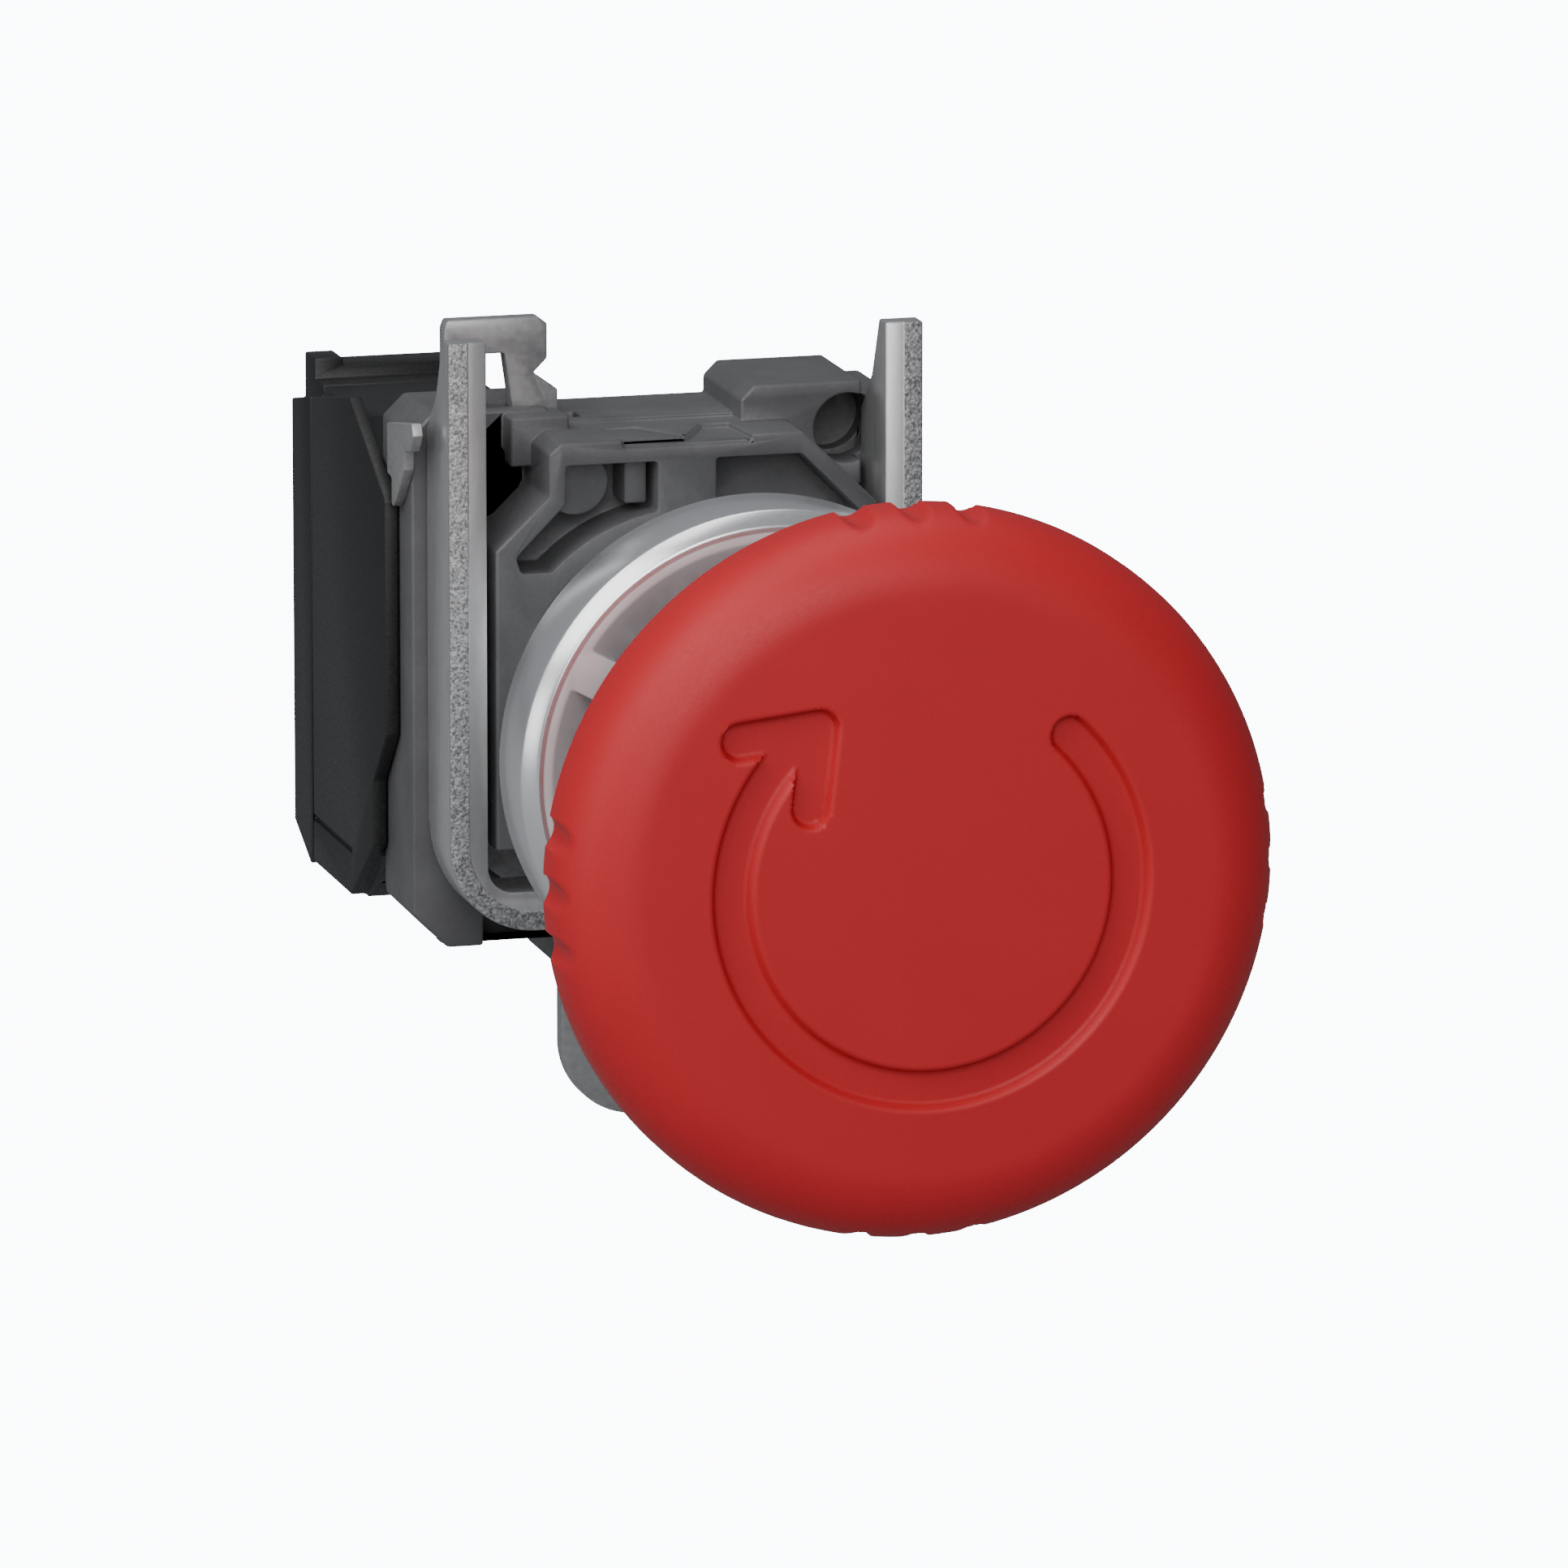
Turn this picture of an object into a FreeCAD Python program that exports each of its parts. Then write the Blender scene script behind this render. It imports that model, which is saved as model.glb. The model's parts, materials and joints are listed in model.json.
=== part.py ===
import FreeCAD, Part
import os
import re
import Sketcher

# Emergency stop button, 22 mm panel-hole type: a turn-to-release mushroom head, a cast
# fixing collar with its steel clamp yoke and latch plate, and one normally closed contact block.
# Millimetres.  X to the right, Y back through the panel, Z up.  The origin is on the button's
# axis, in the plane of the panel's front face, where the bezel seats.

SIZES = [
    # mushroom cap
    ("cap_radius", 20.0, "cap, outside radius"),
    ("cap_front", 36.9, "edge of the cap face, in front of the panel"),
    ("cap_rim", 32.7, "cap's widest place, in front of the panel"),
    ("cap_dome", 0.3, "rise of the cap face at its centre"),
    ("cap_edge_round", 4.2, "round between cap face and rim"),
    ("cap_wall", 2.0, "cap wall"),
    ("skirt_radius", 10.0, "cap skirt, outside radius"),
    ("skirt_end", 9.5, "end of the skirt, in front of the panel"),
    ("skirt_start", 20.5, "where the flare joins the skirt"),
    ("flare_radius", 17.4, "radius where the flare joins the rim"),
    ("flare_front", 29.0, "flare's front end, in front of the panel"),
    ("arrow_radius", 11.0, "turn arrow, centre-line radius"),
    ("arrow_width", 2.0, "turn arrow, groove width"),
    ("arrow_depth", 0.7, "turn arrow, groove depth"),
    ("arrow_sweep", 259.0, "turn arrow, angle swept"),
    ("arrow_tail", 46.0, "turn arrow, angle of its tail above the right"),
    ("arrow_head", 6.2, "turn arrow, length of a head bar"),
    ("grip_radius", 1.1, "grip notch, radius of the scoop"),
    ("grip_bite", 0.75, "grip notch, depth into the rim"),
    ("grip_pitch", 9.0, "angle between grip notches"),
    # cap core and what it turns on
    ("hub_radius", 6.8, "cap core, outside radius"),
    ("hub_end", 0.5, "rear end of the core, in front of the panel"),
    ("hub_flange", 9.0, "cap core flange radius"),
    ("hub_flange_depth", 2.4, "cap core flange thickness"),
    ("cap_turn_gap", 0.1, "running clearance of spindle and core"),
    ("spring_room_radius", 5.2, "bore in the core for the turn spring"),
    ("spring_room_length", 11.5, "depth of that bore"),
    # spindle
    ("spindle_radius", 3.0, "spindle"),
    ("spindle_front", 28.5, "spindle's front end, in front of the panel"),
    ("spindle_rear", 26.7, "spindle's rear end, behind the panel"),
    ("shoulder_radius", 4.6, "spring shoulder on the spindle"),
    ("shoulder_width", 1.2, "spring shoulder, thickness"),
    ("clip_groove_depth", 0.6, "depth of the spindle's clip grooves"),
    ("clip_groove_width", 0.6, "width of the spindle's clip grooves"),
    ("clip_radius", 4.4, "clips on the spindle, outside radius"),
    ("clip_gap", 0.05, "clearance of a clip in its groove"),
    ("travel", 4.0, "press travel"),
    ("pawl_move", 0.8, "inward movement of a latch pawl"),
    # bezel and neck
    ("bezel_radius", 14.5, "bezel, outside radius"),
    ("bezel_depth", 5.6, "bezel, height above the panel"),
    ("bezel_chamfer", 0.8, "bright chamfer round the bezel"),
    ("bezel_lip", 0.85, "flat lip inside the chamfer"),
    ("bowl_floor_radius", 9.4, "radius of the bowl's floor"),
    ("bowl_floor", 2.8, "bowl's floor, in front of the panel"),
    ("lug_width", 2.4, "lugs in the bowl, width"),
    ("lug_inner", 10.7, "lugs in the bowl, inner radius"),
    ("lug_angle", 29.0, "lugs, angle above the left and below the right"),
    ("neck_radius", 10.9, "neck that fills the panel hole"),
    ("neck_length", 7.0, "neck, length behind the panel's front face"),
    ("neck_flat", 10.3, "flat under the neck, below the axis"),
    ("tail_radius", 9.6, "tail that the collar slides on"),
    ("tail_end", 24.0, "rear end of the tail"),
    ("bore_radius", 7.4, "bore through the neck and tail"),
    ("groove_radius", 8.6, "latch groove in the tail"),
    ("groove_width", 2.0, "latch groove, width"),
    ("gasket_inner", 11.8, "gasket recess, inner radius"),
    ("gasket_outer", 13.9, "gasket recess, outer radius"),
    ("gasket_depth", 0.8, "gasket recess, depth"),
    ("seal_radius", 8.9, "stem seal seat, radius"),
    ("seal_depth", 1.6, "stem seal seat, depth"),
    ("seal_gap", 0.2, "clearance of the seal's lip on the core"),
    ("fit_gap", 0.05, "clearance between pieces that are fixed together"),
    ("bush_front", 4.5, "front of the pawl housing"),
    ("bush_length", 5.0, "pawl housing, length"),
    ("bush_gap", 0.2, "clearance of the spindle in its housing"),
    ("pawl_width", 2.2, "latch pawl, along the axis"),
    ("pawl_height", 2.9, "latch pawl, across"),
    ("pawl_length", 2.6, "latch pawl, radial length"),
    ("pawl_gap", 0.1, "clearance round a pawl in its slot"),
    ("seat_start", 22.0, "front of the spring seat"),
    ("seat_width", 0.9, "spring seat, thickness"),
    ("ring_width", 0.5, "retaining ring, thickness"),
    ("ring_bite", 0.5, "retaining ring, depth in its groove"),
    ("ring_inner", 6.3, "retaining ring, inner radius"),
    ("pusher_radius", 7.0, "rear pusher disc"),
    ("pusher_width", 1.4, "rear pusher disc, thickness"),
    ("pusher_hub", 4.4, "rear pusher hub radius"),
    # collar
    ("collar_front", 14.0, "front of the collar and yoke"),
    ("collar_gap", 0.2, "clearance of the collar on the tail"),
    ("plate_half", 11.1, "half width of the collar's front plate"),
    ("plate_bottom", 8.2, "bottom of the front plate, below the axis"),
    ("plate_top", 15.0, "top of the collar"),
    ("plate_depth", 5.6, "front plate, depth"),
    ("pocket_depth", 3.4, "pockets in the front plate, depth"),
    ("rim_width", 1.2, "rim round the collar's bore"),
    ("collar_half", 14.6, "half width of the collar's body"),
    ("collar_bottom", 14.9, "bottom of the body, below the axis"),
    ("shoulder_top", 16.0, "top of the body's shoulders"),
    ("collar_rear", 26.4, "rear of the collar's body"),
    ("boss_top", 17.0, "top of the right boss"),
    ("boss_front", 18.0, "front of the right boss"),
    ("side_hole_radius", 2.0, "round recesses beside the plate"),
    ("slot_width", 1.6, "slot for the latch plate"),
    ("latch_half", 12.2, "half width of the latch plate"),
    ("slot_side_gap", 0.3, "clearance beside the latch plate"),
    ("foot_half", 5.2, "half width of the lower rear boss"),
    ("foot_bottom", 17.3, "bottom of the lower rear boss"),
    ("foot_rear", 30.5, "rear of the lower rear boss"),
    # yoke, its screw, and the latch plate
    ("arm_inner", 11.6, "inside of a yoke arm, from the middle"),
    ("arm_outer", 13.8, "outside of a yoke arm, from the middle"),
    ("arm_top", 21.0, "top of the yoke's ears"),
    ("arm_depth", 5.3, "yoke arm, front to back"),
    ("bar_top", 10.6, "upper edge of the bottom bar, below the axis"),
    ("bar_bottom", 12.9, "lower edge of the bottom bar, below the axis"),
    ("bar_depth", 4.0, "bottom bar, front to back"),
    ("yoke_round", 5.0, "outer corner round of the yoke"),
    ("ear_tip_depth", 1.5, "depth of an ear at its tip"),
    ("ear_taper", 5.8, "height over which an ear tapers"),
    ("screw_radius", 2.0, "clamp screw"),
    ("screw_length", 20.0, "clamp screw, length"),
    ("thread_gap", 0.1, "clearance of a screw in its thread"),
    ("driver_slot", 0.8, "screwdriver slot width"),
    ("latch_thickness", 1.2, "latch plate"),
    ("latch_window_gap", 0.3, "clearance of the open latch round the tail"),
    ("latch_top", 12.4, "top edge of the latch plate's ring"),
    ("latch_shoulder", 9.0, "bottom of its wide part, below the axis"),
    ("tongue_half", 5.6, "half width of the latch tongue"),
    ("tongue_end", 25.6, "end of the latch tongue, below the axis"),
    ("tab_top", 21.0, "top of the latch tab"),
    ("tab_bottom", 19.0, "underside of the latch tab's arm"),
    ("latch_lift", 1.2, "lift of the latch plate into its groove"),
    # contact block
    ("block_left", 15.5, "left side of the contact block"),
    ("block_right", 5.5, "right side of the contact block"),
    ("block_rear", 45.0, "rear of the contact block"),
    ("block_top", 13.9, "top of the block's core"),
    ("block_bottom", 14.1, "bottom of the block"),
    ("block_wall", 1.2, "block walls"),
    ("side_panel", 0.8, "left side panel of the block, thickness"),
    ("rear_lip_top", 15.1, "top of the lip along the block's rear edge"),
    ("rear_lip", 2.5, "depth of that lip"),
    ("seam", 40.2, "joint of housing and cover"),
    ("seam_gap", 0.2, "visible gap at that joint"),
    ("notch_half", 5.0, "half height of the plunger notch"),
    ("notch_floor", 31.6, "floor of the plunger notch"),
    ("notch_left", 9.8, "left side of the plunger notch"),
    ("middle_half", 6.3, "half height of the contact chamber"),
    ("plunger_gap", 0.3, "free gap between pusher and plunger"),
    ("rod_width", 1.8, "plunger rod, width"),
    ("rod_height", 3.0, "plunger rod, height"),
    ("carriage_half", 2.3, "half height of the contact carriage"),
    ("carriage_front", 33.0, "front of the contact carriage"),
    ("carriage_rear", 38.2, "rear of the contact carriage"),
    ("strip_front", 33.4, "front of the fixed contacts"),
    ("strip_thickness", 0.8, "contact strip"),
    ("strip_half", 1.8, "half width of the contact strips"),
    ("tip_radius", 1.2, "silver contact tips"),
    ("tip_height", 0.6, "silver contact tips, thickness"),
    ("bridge_thickness", 0.6, "moving contact bridge"),
    ("terminal_z", 10.0, "height of the terminals, above and below the axis"),
    ("cage_half", 2.4, "half height of a terminal cage"),
    ("cage_front", 29.0, "front of a terminal cage"),
    ("cage_rear", 37.8, "rear of a terminal cage"),
    ("cage_bar", 1.1, "terminal cage bars"),
    ("cage_side", 2.8, "half width of a terminal cage"),
    ("clamp_travel", 2.4, "travel of a terminal cage"),
    ("terminal_screw_radius", 1.6, "terminal screw"),
    ("terminal_head_radius", 2.7, "terminal screw head"),
    ("terminal_head_width", 1.6, "terminal screw head, thickness"),
    ("driver_hole", 2.4, "screwdriver holes in the cover"),
    ("wire_hole", 1.6, "wire entries"),
    # springs: coil radius and wire radius
    ("return_coil", 5.6, "return spring, coil radius"),
    ("return_wire", 0.5, "return spring, wire radius"),
    ("turn_coil", 4.3, "turn spring, coil radius"),
    ("turn_wire", 0.45, "turn spring, wire radius"),
    ("pawl_coil", 0.75, "pawl spring, coil radius"),
    ("small_wire", 0.15, "small springs, wire radius"),
    ("plunger_coil", 1.3, "plunger spring, coil radius"),
    ("plunger_wire", 0.2, "plunger spring, wire radius"),
    ("bridge_coil", 1.0, "contact spring, coil radius"),
    ("latch_coil", 0.5, "latch spring, coil radius"),
]
ALIASES = {alias for alias, number, note in SIZES}

os.makedirs("parts", exist_ok=True)
doc = FreeCAD.newDocument("emergency_stop_button")
sheet = doc.addObject("Spreadsheet::Sheet", "sizes")
for row, (alias, number, note) in enumerate(SIZES, start=1):
    sheet.set("A%d" % row, note)
    sheet.set("B%d" % row, str(number))
    sheet.setAlias("B%d" % row, alias)
doc.recompute()


def formula(text):
    """An expression on the sheet: each size's name gets the sheet's name in front."""
    return re.sub(r"[a-z_]+", lambda word: "sizes." + word.group()
                  if word.group() in ALIASES else word.group(), str(text))


def value(text):
    """The number that such an expression gives now."""
    return float(sheet.evalExpression(re.sub(r"sizes\.", "", formula(text))))


def bind(thing, prop, text):
    thing.setExpression(prop, formula(text))


# ---------------------------------------------------------------- building blocks

# A sketch plane's normal points along -Y on XZ, +Z on XY and +X on YZ.
FACES_BACK = "XZ"


def new_body(label):
    body = doc.addObject("PartDesign::Body", label)
    body.Label = label
    return body


def origin_part(body, role):
    return next(part for part in body.Origin.OriginFeatures if part.Role == role)


def new_sketch(body, plane, start):
    """An empty sketch on a body's own origin plane, moved to start along the plane's axis."""
    sketch = body.newObject("Sketcher::SketchObject", body.Label + "_sketch")
    sketch.AttachmentSupport = (origin_part(body, plane + "_Plane"), [""])
    sketch.MapMode = "FlatFace"
    sign = "-1" if plane == FACES_BACK else "1"
    bind(sketch, ".AttachmentOffset.Base.z", "%s * (%s)" % (sign, start))
    return sketch


def dimension(sketch, kind, edge, point, text):
    """One signed distance from the sketch's origin to a point, bound to the sheet."""
    index = sketch.addConstraint(Sketcher.Constraint(kind, -1, 1, edge, point, value(text)))
    bind(sketch, "Constraints[%d]" % index, text)


def draw_outline(sketch, points):
    """A closed outline of straight lines through (x, y) expressions."""
    corners = [FreeCAD.Vector(value(x), value(y), 0) for x, y in points]
    count = len(corners)
    for i in range(count):
        sketch.addGeometry(Part.LineSegment(corners[i], corners[(i + 1) % count]), False)
    for i in range(count):
        sketch.addConstraint(Sketcher.Constraint("Coincident", i, 2, (i + 1) % count, 1))
    for i, (x, y) in enumerate(points):
        dimension(sketch, "DistanceX", i, 1, x)
        dimension(sketch, "DistanceY", i, 1, y)


def draw_circle(sketch, x, y, radius):
    centre = FreeCAD.Vector(value(x), value(y), 0)
    normal = FreeCAD.Vector(0, 0, 1)
    edge = sketch.addGeometry(Part.Circle(centre, normal, value(radius)), False)
    dimension(sketch, "DistanceX", edge, 3, x)
    dimension(sketch, "DistanceY", edge, 3, y)
    index = sketch.addConstraint(Sketcher.Constraint("Radius", edge, value(radius)))
    bind(sketch, "Constraints[%d]" % index, radius)


def extrude(body, sketch, plane, length, cut):
    """Pad or pocket a sketch towards its plane's positive axis."""
    before = body.Shape.Volume if body.Tip else 0.0
    kind = "Pocket" if cut else "Pad"
    feature = body.newObject("PartDesign::" + kind, body.Label + "_" + kind.lower())
    feature.Profile = sketch
    bind(feature, "Length", length)
    feature.Reversed = (plane == FACES_BACK) != cut
    doc.recompute()
    change = body.Shape.Volume - before
    if (change >= 0) if cut else (change <= 0):
        raise RuntimeError("%s: a %s changed nothing" % (body.Label, kind))
    return feature


def prism(body, plane, points, start, length, cut=False):
    sketch = new_sketch(body, plane, start)
    draw_outline(sketch, points)
    return extrude(body, sketch, plane, length, cut)


def block(body, plane, low, high, start, length, cut=False):
    """A rectangular prism between two opposite corners (x, y)."""
    corners = [(low[0], low[1]), (high[0], low[1]), (high[0], high[1]), (low[0], high[1])]
    return prism(body, plane, corners, start, length, cut)


def disc(body, plane, centre, radius, start, length, cut=False):
    sketch = new_sketch(body, plane, start)
    draw_circle(sketch, centre[0], centre[1], radius)
    return extrude(body, sketch, plane, length, cut)


def tube(body, plane, centre, outer, inner, start, length):
    sketch = new_sketch(body, plane, start)
    draw_circle(sketch, centre[0], centre[1], outer)
    draw_circle(sketch, centre[0], centre[1], inner)
    return extrude(body, sketch, plane, length, False)


def turned(label, points):
    """A body turned about the button's axis from an outline of (radius, place along Y)."""
    body = new_body(label)
    sketch = new_sketch(body, "XY", "0")
    draw_outline(sketch, points)
    feature = body.newObject("PartDesign::Revolution", label + "_turned")
    feature.Profile = sketch
    feature.ReferenceAxis = (sketch, ["V_Axis"])
    feature.Angle = 360
    doc.recompute()
    return body


def polar_copies(body, feature, angle, count):
    """Copies of a feature about the button's axis, count of them over angle."""
    pattern = body.newObject("PartDesign::PolarPattern", body.Label + "_pattern")
    pattern.Originals = [feature]
    pattern.Axis = (origin_part(body, "Y_Axis"), [""])
    if angle == "360":
        pattern.Angle = 360
    else:
        bind(pattern, "Angle", angle)
    pattern.Occurrences = count
    body.Tip = pattern
    doc.recompute()
    return pattern


def round_edges(body, radius, test):
    """Fillet the edges of a body whose middle point passes a test."""
    base = body.Tip
    names = ["Edge%d" % number for number, edge in enumerate(base.Shape.Edges, start=1)
             if test(edge.CenterOfMass)]
    if not names:
        raise RuntimeError("%s: no edge to round" % body.Label)
    feature = body.newObject("PartDesign::Fillet", body.Label + "_round")
    feature.Base = (base, names)
    bind(feature, "Radius", radius)
    doc.recompute()
    return feature


# Rotations that lay a coil's own +Z along the axis named.
ALONG = {"x": FreeCAD.Rotation(FreeCAD.Vector(0, 1, 0), 90),
         "y": FreeCAD.Rotation(FreeCAD.Vector(1, 0, 0), -90),
         "z": FreeCAD.Rotation()}


def coil(label, axis, radius, wire, turns, start, end, place=("0", "0", "0")):
    """A compression spring from start to end along an axis, with its centre line at place."""
    helix = doc.addObject("Part::Helix", label + "_line")
    bind(helix, "Radius", radius)
    bind(helix, "Height", "(%s) - (%s) - 2.2 * (%s)" % (end, start, wire))
    bind(helix, "Pitch", "((%s) - (%s) - 2.2 * (%s)) / %s" % (end, start, wire, turns))
    section = doc.addObject("Part::Circle", label + "_section")
    bind(section, "Radius", wire)
    section.Placement = FreeCAD.Placement(FreeCAD.Vector(value(radius), 0, 0),
                                          FreeCAD.Rotation(FreeCAD.Vector(1, 0, 0), 90))
    bind(section, ".Placement.Base.x", radius)
    spring = doc.addObject("Part::Sweep", label)
    spring.Label = label
    spring.Sections = [section]
    spring.Spine = (helix, [])
    spring.Solid = True
    spring.Frenet = True
    spring.Placement = FreeCAD.Placement(FreeCAD.Vector(), ALONG[axis])
    first = {"x": 0, "y": 1, "z": 2}[axis]
    for number, letter in enumerate("xyz"):
        text = "(%s) + 1.1 * (%s)" % (start, wire) if number == first else place[number]
        bind(spring, ".Placement.Base." + letter, text)
    doc.recompute()
    return spring


# ---------------------------------------------------------------- head, fixed to the panel

CLIP_START = "seat_start + seat_width + clip_gap"
GROOVE_MIDDLE = "collar_front + plate_depth + 2"


def make_bezel():
    """Chromed casting: dished flange in front of the panel, neck and tail behind it."""
    mouth = "bezel_radius - bezel_chamfer - bezel_lip"
    ring_front = CLIP_START + " - clip_gap"
    ring_rear = CLIP_START + " + ring_width + clip_gap"
    ring_groove = "bore_radius + ring_bite + clip_gap"
    seal_rear = "-bowl_floor + seal_depth"
    bezel = turned("bezel", [
        ("bore_radius", seal_rear), ("seal_radius", seal_rear),
        ("seal_radius", "-bowl_floor"), ("bowl_floor_radius", "-bowl_floor"),
        (mouth, "-bezel_depth"), ("bezel_radius - bezel_chamfer", "-bezel_depth"),
        ("bezel_radius", "-bezel_depth + bezel_chamfer"), ("bezel_radius", "0"),
        ("gasket_outer", "0"), ("gasket_outer", "-gasket_depth"),
        ("gasket_inner", "-gasket_depth"), ("gasket_inner", "0"),
        ("neck_radius", "0"), ("neck_radius", "neck_length"), ("tail_radius", "neck_length"),
        ("tail_radius", GROOVE_MIDDLE + " - groove_width / 2"),
        ("groove_radius", GROOVE_MIDDLE + " - groove_width / 2"),
        ("groove_radius", GROOVE_MIDDLE + " + groove_width / 2"),
        ("tail_radius", GROOVE_MIDDLE + " + groove_width / 2"),
        ("tail_radius", "tail_end"), ("bore_radius", "tail_end"),
        ("bore_radius", ring_rear), (ring_groove, ring_rear),
        (ring_groove, ring_front), ("bore_radius", ring_front)])
    lug = block(bezel, "XY", ("-(%s) - 0.3" % mouth, "-bezel_depth"),
                ("-lug_inner", "-bowl_floor + 0.2"), "-lug_width / 2", "lug_width")
    sketch = lug.Profile[0]
    sketch.AttachmentOffset = FreeCAD.Placement(
        sketch.AttachmentOffset.Base, FreeCAD.Rotation(FreeCAD.Vector(0, 1, 0), value("lug_angle")))
    bind(sketch, ".AttachmentOffset.Rotation.Angle", "lug_angle")
    bind(sketch, ".AttachmentOffset.Base.x", "-lug_width / 2 * sin(lug_angle * 1deg)")
    bind(sketch, ".AttachmentOffset.Base.z", "-lug_width / 2 * cos(lug_angle * 1deg)")
    polar_copies(bezel, lug, "360", 2)
    block(bezel, "XZ", ("-neck_radius - 1", "-neck_radius - 1"),
          ("neck_radius + 1", "-neck_flat"), "0", "neck_length", cut=True)
    return bezel


def make_head():
    make_bezel()
    turned("panel_gasket", [
        ("gasket_inner + fit_gap", "-gasket_depth"), ("gasket_outer - fit_gap", "-gasket_depth"),
        ("gasket_outer - fit_gap", "0"), ("gasket_inner + fit_gap", "0")])
    turned("stem_seal", [
        ("seal_radius - fit_gap", "-bowl_floor"), ("seal_radius - fit_gap", "-bowl_floor + seal_depth"),
        ("hub_radius + seal_gap + 0.7", "-bowl_floor + seal_depth"),
        ("hub_radius + seal_gap", "-bowl_floor + 0.9"), ("hub_radius + seal_gap", "-bowl_floor + 0.5"),
        ("hub_radius + seal_gap + 0.5", "-bowl_floor")])
    bush = turned("pawl_housing", [
        ("spindle_radius + bush_gap", "bush_front"), ("bore_radius - fit_gap", "bush_front"),
        ("bore_radius - fit_gap", "bush_front + bush_length"),
        ("spindle_radius + bush_gap", "bush_front + bush_length")])
    half = "(pawl_height / 2 + pawl_gap)"
    block(bush, "XZ", ("-bore_radius", "-" + half), ("bore_radius", half),
          "bush_front + bush_length / 2 - pawl_width / 2 - pawl_gap", "pawl_width + 2 * pawl_gap",
          cut=True)
    turned("spring_seat", [
        ("spindle_radius + bush_gap", "seat_start"), ("bore_radius - fit_gap", "seat_start"),
        ("bore_radius - fit_gap", "seat_start + seat_width"),
        ("spindle_radius + bush_gap", "seat_start + seat_width")])
    ring = turned("retaining_ring", [
        ("ring_inner", CLIP_START), ("bore_radius + ring_bite", CLIP_START),
        ("bore_radius + ring_bite", CLIP_START + " + ring_width"),
        ("ring_inner", CLIP_START + " + ring_width")])
    block(ring, "XZ", ("-2", "-bore_radius - 2"), ("2", "0"), "seat_start", "4", cut=True)


def make_pawl(side, sign):
    """A latch pawl in its slot, its tip just clear of the spindle's latch cone."""
    pawl = new_body("latch_pawl_" + side)
    tip = "spindle_radius + bush_gap"
    tail = "spindle_radius + bush_gap + pawl_length"
    low, high = (tip, tail) if sign > 0 else ("-(%s)" % tail, "-(%s)" % tip)
    block(pawl, "XZ", (low, "-pawl_height / 2"), (high, "pawl_height / 2"),
          "bush_front + bush_length / 2 - pawl_width / 2", "pawl_width")
    start = "spindle_radius + bush_gap + pawl_length"
    end = "bore_radius - 0.1"
    if sign < 0:
        start, end = "-(%s)" % end, "-(%s)" % start
    coil("pawl_spring_" + side, "x", "pawl_coil", "small_wire", 3, start, end,
         ("0", "bush_front + bush_length / 2", "0"))


# ---------------------------------------------------------------- pressed together: the actuator

def make_spindle():
    """Steel rod: cap clip groove, latch cone, spring shoulder and pusher clip groove."""
    bottom = "spindle_radius - clip_groove_depth"
    cone_rear = "bush_front + bush_length / 2 + pawl_width / 2"
    cone_front = "(%s) - travel - pawl_width - pawl_gap" % cone_rear
    cone_low = "spindle_radius - pawl_move * (travel + pawl_width + pawl_gap) / travel"
    shoulder = "bush_front + bush_length + 0.3"
    front_groove = "-spindle_front + 1"
    rear_groove = "tail_end + 0.2 + pusher_width + clip_gap"
    turned("spindle", [
        ("0", "-spindle_front"), ("spindle_radius - 0.4", "-spindle_front"),
        ("spindle_radius", "-spindle_front + 0.4"),
        ("spindle_radius", front_groove), (bottom, front_groove),
        (bottom, front_groove + " + clip_groove_width"),
        ("spindle_radius", front_groove + " + clip_groove_width"),
        ("spindle_radius", cone_front), (cone_low, cone_front), ("spindle_radius", cone_rear),
        ("spindle_radius", shoulder), ("shoulder_radius", shoulder),
        ("shoulder_radius", shoulder + " + shoulder_width"),
        ("spindle_radius", shoulder + " + shoulder_width"),
        ("spindle_radius", rear_groove), (bottom, rear_groove),
        (bottom, rear_groove + " + clip_groove_width"),
        ("spindle_radius", rear_groove + " + clip_groove_width"),
        ("spindle_radius", "spindle_rear - 0.2"), ("spindle_radius - 0.2", "spindle_rear"),
        ("0", "spindle_rear")])


def make_clip(label, start):
    """A spring clip with a mouth, pressed into a groove of the spindle."""
    inner = "spindle_radius - clip_groove_depth + clip_gap"
    depth = "clip_groove_width - 2 * clip_gap"
    clip = turned(label, [(inner, start), ("clip_radius", start),
                          ("clip_radius", start + " + " + depth), (inner, start + " + " + depth)])
    block(clip, "XZ", ("-1.6", "0"), ("1.6", "clip_radius + 1"), start + " - 1", "3", cut=True)


def make_actuator():
    make_spindle()
    make_clip("cap_clip", "-spindle_front + 1 + clip_gap")
    make_clip("pusher_clip", "tail_end + 0.2 + pusher_width + 2 * clip_gap")
    turned("rear_pusher", [
        ("spindle_radius + fit_gap", CLIP_START), ("pusher_hub", CLIP_START),
        ("pusher_hub", "tail_end + 0.2"), ("pusher_radius", "tail_end + 0.2"),
        ("pusher_radius", "tail_end + 0.2 + pusher_width"),
        ("spindle_radius + fit_gap", "tail_end + 0.2 + pusher_width")])
    shoulder_rear = "bush_front + bush_length + 0.3 + shoulder_width"
    coil("return_spring", "y", "return_coil", "return_wire", 5, shoulder_rear, "seat_start")
    spring_front = "-hub_end - spring_room_length"
    coil("turn_spring", "y", "turn_coil", "turn_wire", 5, spring_front + " + 0.1", "-hub_end - 1.2")


# ---------------------------------------------------------------- turned by hand: the cap

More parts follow.
